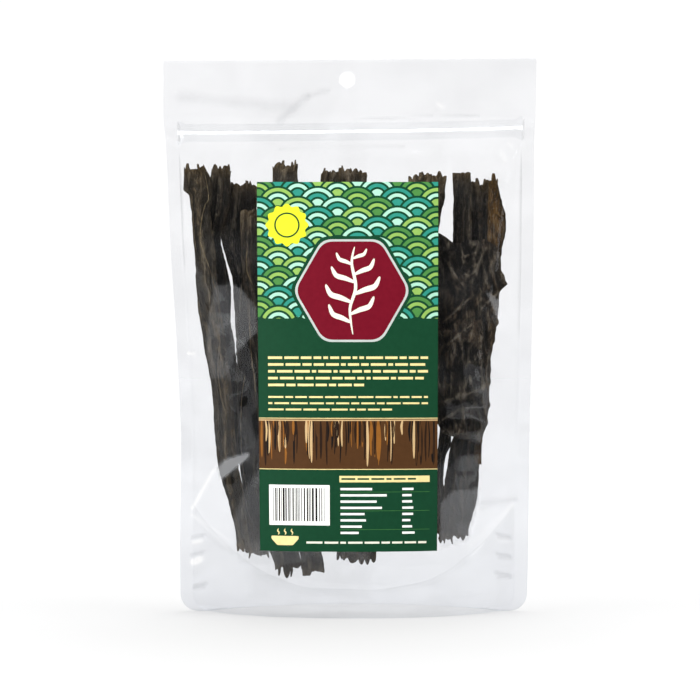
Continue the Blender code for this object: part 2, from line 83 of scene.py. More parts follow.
# Fronds, in mm, as in the part's source. A path's rows, from the top end down, are height, depth and, where
# no outline follows, x. An outline's rows are height, left edge and right edge. Half widths and thicknesses
# are at equal steps
FRONDS = {
    "frond_left_outer": {
        "path": (
            (227, -0.8), (208, -2.6), (184, -4.2), (158, -4.6), (133, -5.4), (107, -6.5), (82, -8),
            (57, -9.5), (33, -10),
        ),
        "half_thick": (2, 2.4, 2.6, 2.7, 2.8, 2.8, 2.6, 2),
        "outline": (
            (227.5, -84.7, -74.4), (221, -85, -71.2), (215, -85.2, -70.4), (211.5, -81.8, -70.8),
            (207, -81.3, -71.4), (184, -79.2, -68.5), (160, -77.8, -66.6), (132, -73.4, -62.2),
            (114, -70.2, -60.2), (77, -67.2, -56.8), (57, -61.8, -53.2), (33, -57, -51),
        ),
        "seed": 3,
    },
    "frond_left_inner": {
        "path": (
            (226, 1), (208, 2.8), (184, 4.2), (158, 4.6), (133, 5.2), (107, 6), (82, 7), (57, 8.5),
            (28.5, 7),
        ),
        "half_thick": (2, 2.4, 2.6, 2.7, 2.8, 2.8, 2.6, 2.2),
        "outline": (
            (226, -70.6, -60.6), (218, -72, -60.9), (208, -72.6, -61.4), (197, -73, -64.4),
            (190, -72.8, -66.2), (178, -72.4, -63.6), (163, -71.4, -60.9), (149, -70.2, -61.2),
            (136, -68.6, -59.2), (125, -66.8, -57.8), (107, -64.8, -56), (84, -62.8, -56.2),
            (72, -61.6, -57.5), (62, -60.4, -56), (52, -58.6, -52.6), (28.5, -53.6, -41.6),
        ),
        "seed": 11,
    },
    "frond_left_back": {
        "path": (
            (218, 3.4), (200, 3.8), (184, 4), (158, 3.6), (133, 2.6), (107, 1), (82, -0.5), (57, -2),
            (20, -3),
        ),
        "half_thick": (2.2, 2.8, 3, 3, 3, 3, 2.8, 2.2),
        "outline": (
            (218, -62, -47.4), (202, -63.8, -47.4), (191, -66, -47), (180, -63.4, -46.6),
            (169, -60.2, -46.4), (158, -59.3, -45.6), (141, -58.5, -44.6), (125, -57.7, -43.4),
            (107, -57.4, -42.4), (84, -57.6, -40.4), (72, -56.2, -39), (62, -54.6, -36.2),
            (52, -52.2, -32.4), (20, -38.2, -24.6),
        ),
        "low_lobe": 4.4,
        "low_ragged": 2.4,
        "seed": 23,
    },
    "frond_left_front": {
        "path": (
            (203, -5.4, -50.5), (184, -6.6, -50.5), (158, -8.2, -48), (133, -10, -45.5), (107, -11.6, -42.5),
            (82, -13.2, -37), (57, -14.4, -28), (21, -14, -18.5),
        ),
        "half_width": (5, 4.8, 4.8, 5, 5.2, 5.4, 5.6, 5.6),
        "half_thick": (2.2, 2.7, 2.8, 2.9, 3, 3, 2.8, 2.2),
        "low_lobe": 5,
        "low_ragged": 0.9,
        "seed": 37,
    },
    "frond_middle_left": {
        "path": (
            (228, 1, -33.2), (205, 2.4, -32.4), (175, 4, -31), (140, 6, -29.6), (105, 8, -28),
            (70, 9.5, -26), (40, 10, -22),
        ),
        "half_width": (6.6, 6.2, 6, 6.2, 6.4, 6.4, 5.6, 4.6),
        "half_thick": (1.8, 2.6, 3, 3.2, 3.2, 3, 2.8, 2.2),
        "seed": 41,
    },
    "frond_middle": {
        "path": (
            (224, 2, -9.5), (200, 4, -9), (170, 6, -8.2), (140, 8, -7), (105, 9.5, -5), (70, 10.5, -1.5),
            (27, 9, 3.5),
        ),
        "half_width": (5.6, 6, 6.4, 6.6, 6.8, 7, 8, 10),
        "half_thick": (2, 2.8, 3, 3.2, 3.2, 3, 2.6, 2.2),
        "low_lobe": 3.6,
        "low_ragged": 1.5,
        "seed": 53,
    },
    "frond_middle_front": {
        "path": (
            (224.5, -3, 1.5), (200, -5.2, 0.8), (170, -7.4, -1), (140, -9, -3), (105, -10.5, -4.5),
            (70, -12, -5), (44, -12, -3),
        ),
        "half_width": (7.2, 7, 6.6, 6.4, 6.6, 6.6, 6, 4.4),
        "half_thick": (2, 2.8, 3, 3.2, 3.2, 3, 2.8, 2),
        "seed": 67,
    },
    "frond_middle_right": {
        "path": (
            (222, 0.5, 39.5), (200, 2, 38.2), (170, 4, 35), (140, 6, 31.5), (105, 8, 28), (70, 9.5, 25),
            (36, 9.5, 22.5),
        ),
        "half_width": (9.8, 7.8, 6.4, 6.2, 6.4, 6.6, 6.2, 5.2),
        "half_thick": (2.2, 2.8, 3, 3.2, 3.2, 3, 2.8, 2.2),
        "ragged": 1.2,
        "seed": 71,
    },
    "frond_right_stalk": {
        "path": ((223.6, -0.8), (205, -1.2), (178, -1.4), (150, -1.4), (118, -1.2), (86, -0.8), (40, 0)),
        "half_thick": (2.7, 2.9, 3, 3, 3, 3, 2.8, 2.2),
        "outline": (
            (223.6, 52.2, 61.6), (205, 52.4, 61.8), (178, 52.5, 62), (150, 51.5, 61.3), (118, 48.8, 59),
            (100, 46.5, 53.6), (91, 45.5, 51.6), (85, 44.8, 51.4), (79, 44, 48.6), (73, 43, 47.8),
            (66, 42, 47.6), (60, 41, 48.6), (40, 38.5, 46),
        ),
        "ragged": 0.3,
        "prongs": 0,
        "seed": 83,
    },
    "frond_right_inner": {
        "path": ((219, 2.6), (202, 3.4), (178, 4.4), (150, 5), (118, 5.4), (86, 6.2), (36, 6.6)),
        "half_thick": (2.2, 2.6, 2.8, 2.8, 2.8, 2.6, 2.2, 1.8),
        "outline": (
            (219, 61, 72), (205, 61.4, 72.2), (178, 61.6, 72), (150, 60.4, 72.4), (118, 57.6, 71.4),
            (97, 54.8, 68.8), (91, 53.8, 68.2), (85, 51.8, 67.6), (79, 50.6, 66.8), (73, 50, 66.3),
            (66, 48.6, 65.8), (54, 47.6, 64.6), (36, 45.4, 60.6),
        ),
        "seed": 97,
    },
    "frond_right_blade": {
        "path": ((220.5, -1.6), (204, -1.6), (186, -1.2), (160, 0), (132, 0.6), (104, 0.6), (76, 0)),
        "half_thick": (1.1, 1, 1.1, 1.6, 2, 2.2, 2, 1.6),
        "outline": (
            (220.5, 70.8, 75.2), (208, 70.4, 77.6), (198, 70, 79.6), (184, 70.4, 77.6), (172, 71, 76.6),
            (160, 70.6, 75.8), (140, 69.4, 73.8), (127, 67.6, 71.6), (110, 66.4, 70.3), (97, 65, 68.5),
            (76, 63.4, 66.6),
        ),
        "pleats": 1.6,
        "seed": 109,
    },
}

# The broad leaf, in mm, from its top row down: height and x of the row's left end, then of its right end
LEAF_ROWS = (
    (192.5, 42, 186, 74.5), (186, 42, 178.5, 76.2), (180, 42, 172.4, 77.3), (173.5, 42, 167, 78.8),
    (169, 42, 162.8, 76.6), (162, 42, 156.6, 75.7), (152, 42, 146.4, 74.9), (146, 42.2, 140, 73.6),
    (134, 42.7, 128, 72), (124, 43.1, 118, 71.4), (113, 43.4, 107, 70.8), (101, 44, 96, 69.6),
    (91, 46.5, 86, 66.5),
)
# How far the leaf stands out in front, how much less at its sides, and its thickness
LEAF_FRONT, LEAF_WRAP, LEAF_THICK = 10.8, 6.4, 0.6

# Grid points across and up the pieces, or round and along them
FILM_GRID = (150, 220)
GUSSET_GRID = (26, 100)
STRIP_STATIONS = 180
FROND_GRID = (40, 230)
LEAF_GRID = (78, 190)
MIDRIB_STATIONS, PRONG_STATIONS = 90, 14
LABEL_BENDS = (22, 30)

TORN_END = 9  # length of a frond's end that its torn lobes change
PRONG_ROOT = 5  # how far a torn strip reaches into its frond


def smooth_through(points, at):
    """Values at places on a curve that passes through (place, value) points without overshooting."""
    places, values = np.array(points, float).T
    at = np.clip(at, places[0], places[-1])
    steps = np.diff(places)
    slopes = np.diff(values) / steps
    tangents = np.zeros(len(places))
    same_way = slopes[1:] * slopes[:-1] > 0
    tangents[1:-1][same_way] = 2 / (1 / slopes[1:][same_way] + 1 / slopes[:-1][same_way])
    i = np.minimum(np.searchsorted(places, at, side="right") - 1, len(steps) - 1)
    t = (at - places[i]) / steps[i]
    return (
        values[i] * (1 + 2 * t) * (1 - t) ** 2
        + tangents[i] * steps[i] * t * (1 - t) ** 2
        + values[i + 1] * t * t * (3 - 2 * t)
        - tangents[i + 1] * steps[i] * t * t * (1 - t)
    )


def along(values, s):
    """Values at shares s of a list of values at equal steps."""
    return smooth_through([(i / (len(values) - 1), v) for i, v in enumerate(values)], s)


def down(rows, column, z):
    """A column's values at heights z, from rows that start with their height, the topmost first."""
    return smooth_through([(-row[0], row[column]) for row in rows], -z)


def eased(t):
    """Shares from 0 to 1 that start and stop softly."""
    return t * t * (3 - 2 * t)


def lattice(ix, iy, iz, seed):
    """A fixed random number from -1 to 1 for each whole-number place."""
    n = (ix * 374761393 + iy * 668265263 + iz * 1274126177 + seed * 974634777) & 0xFFFFFFFF
    n = ((n ^ (n >> 13)) * 1103515245) & 0xFFFFFFFF
    n = ((n ^ (n >> 15)) * 668265263) & 0xFFFFFFFF
    return (n ^ (n >> 16)) / 0x7FFFFFFF - 1


def wave(x, y, z, seed):
    """Smooth noise from -1 to 1 with features one unit wide."""
    places = np.broadcast_arrays(x, y, z)
    low = [np.floor(v).astype(np.int64) for v in places]
    ease = [t * t * t * (t * (6 * t - 15) + 10) for t in (v - f for v, f in zip(places, low))]
    total = 0
    for corner in np.ndindex(2, 2, 2):
        part = [e if d else 1 - e for e, d in zip(ease, corner)]
        number = lattice(*(f + d for f, d in zip(low, corner)), seed)
        total = total + number * part[0] * part[1] * part[2]
    return total


def facets(x, z, seed):
    """Flat three-sided facets with sharp folds between them, one unit wide, from -1 to 1."""
    skew_x, skew_z = x + z * 0.577, z * 1.155
    ix, iz = np.floor(skew_x).astype(np.int64), np.floor(skew_z).astype(np.int64)
    a, b = skew_x - ix, skew_z - iz
    low, beside, above, high = (lattice(ix + i, iz + j, 0, seed) for j in (0, 1) for i in (0, 1))
    lower_half = low + (beside - low) * a + (high - beside) * b
    return np.where(a > b, lower_half, low + (above - low) * b + (high - above) * a)


def off_line(x, z, x0, z0, x1, z1):
    """Distance along a line from its start, distance off it, and its length."""
    length = math.hypot(x1 - x0, z1 - z0)
    ux, uz = (x1 - x0) / length, (z1 - z0) / length
    return (x - x0) * ux + (z - z0) * uz, (x - x0) * -uz + (z - z0) * ux, length


def new_piece(name, points, faces, materials, face_slots=None, attributes=None):
    """A mesh piece from points in mm."""
    mesh = bpy.data.meshes.new(name)
    mesh.from_pydata((np.asarray(points) * MM).tolist(), [], [tuple(f) for f in faces])
    for material in materials:
        mesh.materials.append(material)
    if face_slots is not None:
        mesh.polygons.foreach_set("material_index", np.asarray(face_slots, np.int32))
    for key, values in (attributes or {}).items():
        mesh.attributes.new(key, "FLOAT", "POINT").data.foreach_set("value", np.asarray(values, np.float32))
    mesh.shade_smooth()
    mesh.update()
    piece = bpy.data.objects.new(name, mesh)
    bpy.context.scene.collection.objects.link(piece)
    return piece


def on_root(piece, slot, *replaced):
    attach(piece, "root")
    if replaced:
        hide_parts(*replaced)


def grid_faces(rows, columns, start=0, around=False):
    """Quads between grid points, as an array; around joins each row's last point to its first."""
    r, c = np.meshgrid(np.arange(rows - 1), np.arange(columns if around else columns - 1), indexing="ij")
    a = start + r * columns + c
    b = start + r * columns + (c + 1) % columns
    return np.stack([a, b, b + columns, a + columns], -1).reshape(-1, 4)


def sheet_mesh(outer, inner):
    """Points and faces of a closed sheet between two grids of points."""
    rows, columns = outer.shape[:2]
    count = rows * columns
    faces = [grid_faces(rows, columns), grid_faces(rows, columns, count)[:, ::-1]]
    rim = np.concatenate([
        np.arange(columns),
        np.arange(1, rows) * columns + columns - 1,
        (rows - 1) * columns + np.arange(columns - 2, -1, -1),
        np.arange(rows - 2, 0, -1) * columns,
    ])
    after = np.roll(rim, -1)
    faces.append(np.stack([after, rim, rim + count, after + count], -1))
    return np.concatenate([outer.reshape(-1, 3), inner.reshape(-1, 3)]), np.concatenate(faces)


def tube_faces(rings, turned=False):
    """Faces of a tube through rings of points, with a flat cap at both ends."""
    rows, count = rings.shape[:2]
    faces = grid_faces(rows, count, around=True).tolist()
    faces += [list(range(count))[::-1], [(rows - 1) * count + i for i in range(count)]]
    return [face[::-1] for face in faces] if turned else faces


def linear(r, g, b):
    """A colour given as 0 to 255 screen values."""
    return tuple(((v / 255 + 0.055) / 1.055) ** 2.4 if v > 10 else v / 255 / 12.92 for v in (r, g, b)) + (1,)


# Materials

INKS = {
    "ground": (17, 60, 38),
    "lime": (132, 168, 84),
    "leaf": (70, 124, 62),
    "teal": (44, 132, 116),
    "mint": (158, 204, 182),
    "wine": (104, 12, 30),
    "silver": (176, 182, 178),
    "pale": (222, 220, 204),
    "sun": (206, 214, 44),
    "cream": (226, 208, 146),
    "white": (240, 240, 236),
    "black": (20, 18, 16),
    "bark": (74, 48, 26),
    "dark_bark": (38, 25, 16),
    "amber": (132, 84, 34),
    "tan": (190, 160, 116),
}
# Wakame's screen colours in its folds (painted shade), on its crests (painted light) and in spots, and how
# shiny it is
WAKAME = {
    "dried": ((20, 19, 17), (100, 93, 81), (74, 59, 41), 0.18),
    "brown": ((30, 20, 7), (100, 70, 26), (70, 48, 14), 0.24),
    "crumpled": ((16, 15, 14), (84, 77, 67), (78, 61, 43), 0.20),
    "midrib": ((60, 51, 36), (124, 110, 82), (98, 84, 56), 0.16),
    "black": ((3, 3, 3), (36, 34, 31), (30, 26, 20), 0.20),
    "warm": ((30, 27, 22), (128, 116, 96), (98, 78, 50), 0.18),
}
FROND_LOOKS = {
    "frond_right_blade": "brown",
    "frond_left_back": "black",
    "frond_left_outer": "warm",
    "frond_middle_left": "warm",
    "frond_middle_right": "warm",
}
# Painted shade: the film darkens what is seen through it towards the foot
FOOT_SHADE = (0.964, 0.967, 0.972)  # how much more the film shades what is behind it at the foot


class Nodes:
    """The node tree of a material or world, with short ways to add and join nodes."""

    def __init__(self, owner):
        owner.use_nodes = True
        self.owner = owner
        self.tree = owner.node_tree

    def fill(self, node, inputs):
        for key, value in inputs.items():
            if isinstance(value, bpy.types.NodeSocket):
                self.tree.links.new(value, node.inputs[key])
            else:
                node.inputs[key].default_value = value

    def add(self, kind, inputs=None, **settings):
        made = self.tree.nodes.new(kind)
        for key, value in settings.items():
            setattr(made, key, value)
        self.fill(made, inputs or {})
        return made

    def set(self, **inputs):
        shader = self.tree.nodes["Principled BSDF"]
        self.fill(shader, {key.replace("_", " "): value for key, value in inputs.items()})

    def place(self, scale=(1, 1, 1)):
        """Object coordinates in metres, times a scale for each axis."""
        at = self.add("ShaderNodeTexCoord").outputs["Object"]
        return self.add("ShaderNodeMapping", {"Vector": at, "Scale": scale}).outputs["Vector"]

    def noise(self, scale, detail=3.0, roughness=0.55, distortion=0.0):
        inputs = {"Vector": self.place(scale), "Scale": 1.0, "Detail": detail}
        inputs.update({"Roughness": roughness, "Distortion": distortion})
        return self.add("ShaderNodeTexNoise", inputs).outputs["Fac"]

    def attribute(self, name):
        return self.add("ShaderNodeAttribute", attribute_name=name).outputs["Fac"]

    def span(self, factor, low, high, to_low=0.0, to_high=1.0, **settings):
        inputs = {"Value": factor, "From Min": low, "From Max": high, "To Min": to_low, "To Max": to_high}
        return self.add("ShaderNodeMapRange", inputs, **settings).outputs["Result"]

    def math(self, operation, *values):
        return self.add("ShaderNodeMath", dict(enumerate(values)), operation=operation).outputs[0]

    def times(self, a, b):
        return self.math("MULTIPLY", a, b)

    def blend(self, factor, a, b, kind="MIX"):
        inputs = {0: factor, 6: a, 7: b}
        return self.add("ShaderNodeMix", inputs, data_type="RGBA", blend_type=kind).outputs[2]

    def bump(self, height, distance, strength):
        inputs = {"Height": height, "Distance": distance, "Strength": strength}
        return self.add("ShaderNodeBump", inputs).outputs["Normal"]


def new_material(name):
    return Nodes(bpy.data.materials.new(name))


def film_material(name, clear, haze, roughness, facing=0.012, slanting=0.55, foot_shade=(1, 1, 1)):
    """Thin clear film: light passes straight on, slightly tinted; the surface reflects more at a slant."""
    n = new_material(name)
    n.tree.nodes.remove(n.tree.nodes["Principled BSDF"])
    body = n.add("ShaderNodeBsdfDiffuse", {"Color": (0.86, 0.87, 0.89, 1), "Roughness": 0.5})
    haze_and_painted_light = n.span(n.noise((260, 260, 200), detail=2.0), 0.3, 0.75, haze * 0.5, haze * 1.4)
    # Painted light: above 0 the film is cloudier, painting shade and reflections; below 0 clearer, painting
    # highlights
    painted_light = n.attribute("painted_light")
    haze_and_painted_light = n.math("ADD", haze_and_painted_light, n.times(n.math("MAXIMUM", painted_light, 0.0), 0.16))
    drift = n.span(n.noise((26, 26, 34), detail=1.5, distortion=0.6), 0.40, 0.60)
    tint = n.blend(drift, (*(c * 0.990 for c in clear), 1), (*clear, 1))
    height = n.add("ShaderNodeSeparateXYZ", {"Vector": n.place()}).outputs["Z"]
    # Painted shade: darker towards the foot
    tint = n.blend(n.span(height, 0.004, 0.20, 1, 0), tint, (*foot_shade, 1), "MULTIPLY")
    # Painted highlight: the film is fully clear where the painted light is below 0
    tint = n.blend(n.span(painted_light, -1.0, 0.0, 1, 0), tint, (1, 1, 1, 1))
    through = n.add("ShaderNodeBsdfTransparent", {"Color": tint})
    inside = n.add("ShaderNodeMixShader", {0: haze_and_painted_light, 1: through.outputs[0], 2: body.outputs[0]})
    slant = n.add("ShaderNodeLayerWeight", {"Blend": 0.5}).outputs["Facing"]
    mirror = n.math("MULTIPLY_ADD", n.math("POWER", slant, 4.0), slanting, facing)
    gloss = n.add("ShaderNodeBsdfGlossy", {"Color": (0.97, 0.98, 1.0, 1), "Roughness": roughness})
    whole = n.add("ShaderNodeMixShader", {0: mirror, 1: inside.outputs[0], 2: gloss.outputs[0]})
    n.fill(n.tree.nodes["Material Output"], {"Surface": whole.outputs[0]})
    return n.owner


def milky_highlight_material(name):
    """Thicker plastic that scatters light and looks white; on the zip's rib the white also paints its bright
    highlight.
    """
    n = new_material(name)
    n.set(Base_Color=(0.97, 0.975, 0.98, 1), Roughness=0.3, Specular_IOR_Level=0.5)
    return n.owner


def wakame_material(look):
    """Dried seaweed: near black in the folds and greyer and browner on the crests, as painted shade and
    light, with lengthwise streaks.
    """
    *colors, shine = WAKAME[look]
    deep, crest, spot = (linear(*color) for color in colors)
    n = new_material("wakame_" + look)
    streak = n.noise((760, 760, 42), detail=4.0, roughness=0.62, distortion=0.5)
    vein = n.noise((330, 330, 30), detail=2.0, distortion=1.2)
    patch = n.noise((80, 80, 24))
    grain = n.noise((1500, 1500, 700), detail=1.0)
    crumple = n.noise((420, 420, 190), roughness=0.62, distortion=0.8)
    height = n.attribute("crest")
    # Painted shade and light: the crest heights of the geometry darken the folds and lighten the crests,
    # spots too
    base = n.blend(n.span(height, 0.22, 0.95), deep, crest)
    base = n.blend(n.span(patch, 0.46, 0.66, 0, 0.85), base, n.blend(n.span(height, 0.1, 0.8), deep, spot))
    dark = n.math("MAXIMUM", n.span(streak, 0.36, 0.50, 0.75, 0), n.span(crumple, 0.42, 0.54, 0.92, 0))
    # Streaks, pale lines, salt and lumps are the seaweed's own marks; shown mostly on the crests, they also
    # paint highlights there
    fibre = n.times(n.times(n.span(streak, 0.52, 0.70), n.span(height, 0.2, 0.9)), 0.75)
    from_vein = n.math("ABSOLUTE", n.math("SUBTRACT", vein, 0.5))
    ridge = n.times(n.span(from_vein, 0, 0.012, 0.5, 0), height)
    salt_and_painted_glints = n.times(n.span(grain, 0.62, 0.74), n.span(height, 0.35, 1, 0, 0.55))
    lump = n.times(n.span(crumple, 0.54, 0.66), n.span(height, 0.45, 0.95, 0.1, 0.75))
    # Painted highlight: a glint on the highest crests
    painted_glint = n.times(n.span(height, 0.86, 1, 0, 0.7), n.span(crumple, 0.42, 0.58, 0.15, 1))
    for cover, color in (
        (dark, deep),
        (fibre, linear(104, 96, 82)),
        (ridge, linear(98, 88, 70)),
        # Painted light: thin ends and edges brown, as where light shines through them
        (n.times(n.attribute("thin"), 0.5), linear(74, 57, 28)),
        (salt_and_painted_glints, linear(140, 133, 120)),
        (lump, linear(112, 104, 90)),
        (painted_glint, linear(100, 95, 86)),
    ):
        base = n.blend(cover, base, color)
    relief = n.math("ADD", n.times(streak, 0.9), n.times(grain, 0.10))
    relief = n.math("ADD", relief, n.times(crumple, 1.6))
    n.set(Base_Color=base, Roughness=n.span(patch, 0.3, 0.7, 0.58 - shine, 0.72 - shine * 0.6))
    n.set(Specular_IOR_Level=0.07, Normal=n.bump(relief, 0.0020, 1.0))
    return n.owner


def print_material(name, ink):
    """Printed label stock: flat ink with a faint mottle under a thin varnish."""
    n = new_material(name)
    color = linear(*INKS[ink])
    mottle = n.span(n.noise((420, 420, 420), detail=4.0), 0.3, 0.7)
    n.set(Base_Color=n.blend(mottle, tuple(c * 0.88 for c in color[:3]) + (1,), color))
    n.set(Roughness=n.span(mottle, 0, 1, 0.41, 0.51), Specular_IOR_Level=0.06)
    n.set(Normal=n.bump(n.noise((1500, 1500, 1500), detail=2.0), 0.00006, 0.5))
    return n.owner


# Pouch film


def corner_cut(z):
    """How far the rounded lower corners keep the film in from its sides."""
    below = np.maximum(CORNER_RADIUS - z, 0)
    return CORNER_RADIUS - np.sqrt(np.maximum(CORNER_RADIUS**2 - below**2, 0))


def edges_at(z):
    return smooth_through(LEFT_EDGE, z) + corner_cut(z), smooth_through(RIGHT_EDGE, z) - corner_cut(z)


def half_depth(x, z):
    """Distance of the smooth film's middle from the pouch's middle plane."""
    left, right = edges_at(z)
    middle, reach = (left + right) / 2, (right - left) / 2 - smooth_through(SEAM, z)
    across = np.minimum(1, np.abs(x - middle) / reach)
    swell = (1 - across ** smooth_through(FULLNESS, z)) ** smooth_through(ROUNDING, z)
    return CLOSED_HALF_DEPTH + (smooth_through(BULGE, z) - CLOSED_HALF_DEPTH) * swell


# Folds pressed into the film by hand, as x and z of one end, of the other end, height, and half width, in mm
FRONT_FOLDS = (
    (-69, 74, -80.5, 52, 0.9, 1.6), (-81, 50, -62, 33, -0.7, 1.4), (83, 56, 66, 54, 0.6, 1.5),
    (83, 55, 60, 30, -0.6, 1.6), (74, 140, 84, 128, 0.45, 2), (84, 128, 80, 92, -0.5, 1.8),
    (76, 120, 78, 78, 0.4, 1.5), (-82, 132, -76, 128, 0.5, 1.2), (-74, 120, -82, 84, -0.45, 2.2),
    (-60, 226, 60, 229, 0.25, 1.8), (-84, 236, -20, 233, -0.25, 2.4), (-40, 20, 30, 14, 0.35, 2.6),
)
# Marks where the gusset is pinned into the side seams, as (x, z), pressed through from the front
LOCK_MARKS = ((-78.3, 35.7), (-78.3, 25.5), (-77.4, 12.8), (79.3, 38), (79.3, 28), (79, 18))
LOCK_HALF_WIDTH, LOCK_HALF_HEIGHT, LOCK_DEPTH = 2.9, 1.6, 0.35
# Streaks of painted light: below 0 the film is clearer, which paints a highlight, and above 0 it is
# cloudier, which paints grey shade along creases and marks; as x and z of one end, of the other end,
# strength, and half width
PAINTED_HIGHLIGHT_AND_SHADE_STREAKS = (
    (-80.3, 52.5, -69.1, 72.5, -0.8, 0.9), (-81, 49.5, -61, 33.5, -0.45, 0.6),
    (-82.5, 131.2, -79, 130.8, -1.3, 0.6), (-79.8, 25, -76.6, 26.4, -1.7, 1.5),
    (-80.6, 28.6, -75.2, 29.8, 0.5, 0.9), (-79.4, 35.2, -76, 35.9, -0.9, 1.1),
    (-80.5, 37.6, -75, 38.4, 0.6, 0.8), (-79, 12.4, -74.4, 13.2, 0.9, 1.1),
    (75.4, 38.6, 81.6, 37.6, 0.8, 0.9), (75, 36.4, 81, 35.6, -0.5, 0.6), (75.6, 28.4, 81.8, 27.6, 0.9, 0.9),
    (75.4, 18.6, 81.4, 17.8, 0.9, 1), (84, 57, 66, 53.5, 0.35, 1.4), (83, 54, 62, 31, -0.4, 1.2),
    (77, 234, 79.4, 230.2, -1, 0.5), (81, 238.6, 83.2, 236, -0.8, 0.4), (-36, 250.2, -22, 262.5, 0.45, 1.8),
    (-22, 262.5, -12, 265.5, 0.35, 1.4), (2, 250.6, 42, 252.4, 0.4, 0.5), (44, 252, 66, 253, 0.32, 0.5),
    (-86, 262, -30, 257, 0.3, 3.2), (45, 258.6, 47.4, 256.8, -0.9, 0.8),
    (-87.6, 248.6, -87, 239.8, 0.8, 0.35), (88.6, 250.4, 88.4, 241.4, 0.8, 0.35),
    (-36, 236.2, 28, 236.8, 0.3, 0.5),
)
# Patches of painted reflection, where the front film is made cloudy: strength, width of the soft edge, and
# the (x, z) of the corners
PAINTED_REFLECTIONS = (
    (
        0.36, 1, (-72.7, 135.7), (-71.1, 153), (-67.7, 165), (-61, 166.4), (-58.4, 127), (-63.5, 118.8),
        (-70.1, 118.8),
    ),
    (0.6, 1, (-59.5, 166.4), (-54.8, 163.7), (-47.2, 154), (-46.7, 142.3), (-58.6, 130), (-60, 143.3)),
    (
        2, 1, (-66.8, 73.6), (-62.8, 77.9), (-51.4, 81.5), (-50.6, 79.4), (-54.2, 76.5), (-58.5, 72.9),
        (-65.3, 67.5),
    ),
    (0.34, 3, (-52.3, 64), (-46.5, 72), (-38, 72), (-38, 26), (-56, 26), (-59, 46)),
    (0.36, 9, (-50, 36), (-50, 10), (10, 10), (10, 36)),
    (0.62, 0.8, (45, 56), (51.8, 62.7), (65.3, 63.7), (63.3, 51.5), (59.6, 37.6), (44.6, 33.6)),
    (0.9, 0.8, (68.8, 162.2), (72.7, 160.1), (75.6, 157.8), (75.2, 150.7), (74.2, 149.9), (72, 155)),
)


def fold_heights(x, z, folds):
    """Ridges and grooves along straight lines, fading at their ends."""
    total = np.zeros_like(x)
    for *ends, height, half_width in folds:
        run, aside, length = off_line(x, z, *ends)
        fade = np.clip(1 - np.abs(2 * (run / length) - 1), 0, 1) ** 0.5
        total += height * fade * np.exp(-np.abs(aside) / half_width)
    return total


def loose(x, z):
    """How free the film is to crinkle: not on the label, in the seams or along the zip."""
    left, right = edges_at(z)
    inside = np.clip((np.minimum(x - left, right - x) - 6) / 12, 0, 1)
    beyond_label = np.maximum(np.abs(x + 1) - 46, np.abs(z - 125.4) - 93)
    off_label = np.clip((beyond_label + 1) / 7, 0, 1)
    return inside * off_label * np.clip((238 - z) / 10, 0, 1) * np.clip(z / 4, 0, 1)


def film_relief(x, z, side):
    """How far the film stands out of its smooth shape, outwards."""
    seed = 5 if side < 0 else 17
    warp_x = x + 5 * wave(x / 23, z / 31, 0.5, seed + 1)
    warp_z = z + 7 * wave(x / 29, z / 27, 4.5, seed + 2)
    soft = 0.55 * wave(x / 26, z / 40, 1.5, seed + 3) + 0.2 * wave(x / 9, z / 13, 2.5, seed + 4)
    crisp = 0.42 * facets(warp_x / 17, warp_z / 23, seed + 5)
    crisp = crisp + 0.16 * facets(warp_x / 7, warp_z / 8, seed + 6)
    total = (soft + crisp) * loose(x, z)
    if side < 0:
        total += fold_heights(x, z, FRONT_FOLDS)
    for mark_x, mark_z in LOCK_MARKS:
        spread = ((x - mark_x) / LOCK_HALF_WIDTH) ** 2 + ((z - mark_z) / LOCK_HALF_HEIGHT) ** 2
        total += side * LOCK_DEPTH * np.exp(-spread * 1.2)
    return total


def inside_of(corners, x, z, soft):
    """1 inside a convex outline and 0 outside, with a soft edge."""
    middle = np.mean(corners, axis=0)
    nearest = np.full(np.shape(x), np.inf)
    for start, end in zip(corners, corners[1:] + corners[:1]):
        inwards = -1 if off_line(*middle, *start, *end)[1] < 0 else 1
        nearest = np.minimum(nearest, inwards * off_line(x, z, *start, *end)[1])
    return eased(np.clip(nearest / soft + 0.5, 0, 1))


def film_painted_light(x, z, side):
    """Painted light: film cloudier or clearer in flat patches between soft creases, and in streaks."""
    warp = 6 * wave(x / 30, z / 26, 0.5, 51 + side)
    # Painted shade: flat facets of cloudier and clearer film stand in for the shading of crinkles
    painted_light = 0.08 * facets((x + warp) / 24, (z + warp) / 19, 53 + side)
    painted_light = painted_light + 0.05 * facets((x - warp) / 11, (z + warp) / 9, 57 + side)
    if side < 0:
        for strength, soft, *corners in PAINTED_REFLECTIONS:
            painted_light = painted_light + strength * inside_of(corners, x, z, soft)
    for *ends, strength, half_width in PAINTED_HIGHLIGHT_AND_SHADE_STREAKS:
        run, aside, length = off_line(x, z, *ends)
        aside = np.hypot(aside, np.maximum(np.maximum(-run, run - length), 0))
        painted_light = painted_light + strength * np.exp(-((aside / half_width) ** 2))
    return painted_light


def header_lean(x, z):
    """Waves that the sealed top and side seams share on both films."""
    top = np.clip((z - HEADER_Z) / 10, 0, 1)
    seam = 0.5 * wave(0, z / 34, 7.5, 31) * np.clip((np.abs(x) - 60) / 25, 0, 1)
    creased = 0.5 * facets((x + z * 0.8) / 21, z / 12, 41) + 0.9 * wave(x / 46, z / 22, 2.5, 43)
    return top * creased * np.clip((40 - x) / 60, 0.25, 1) * 0.8 + seam


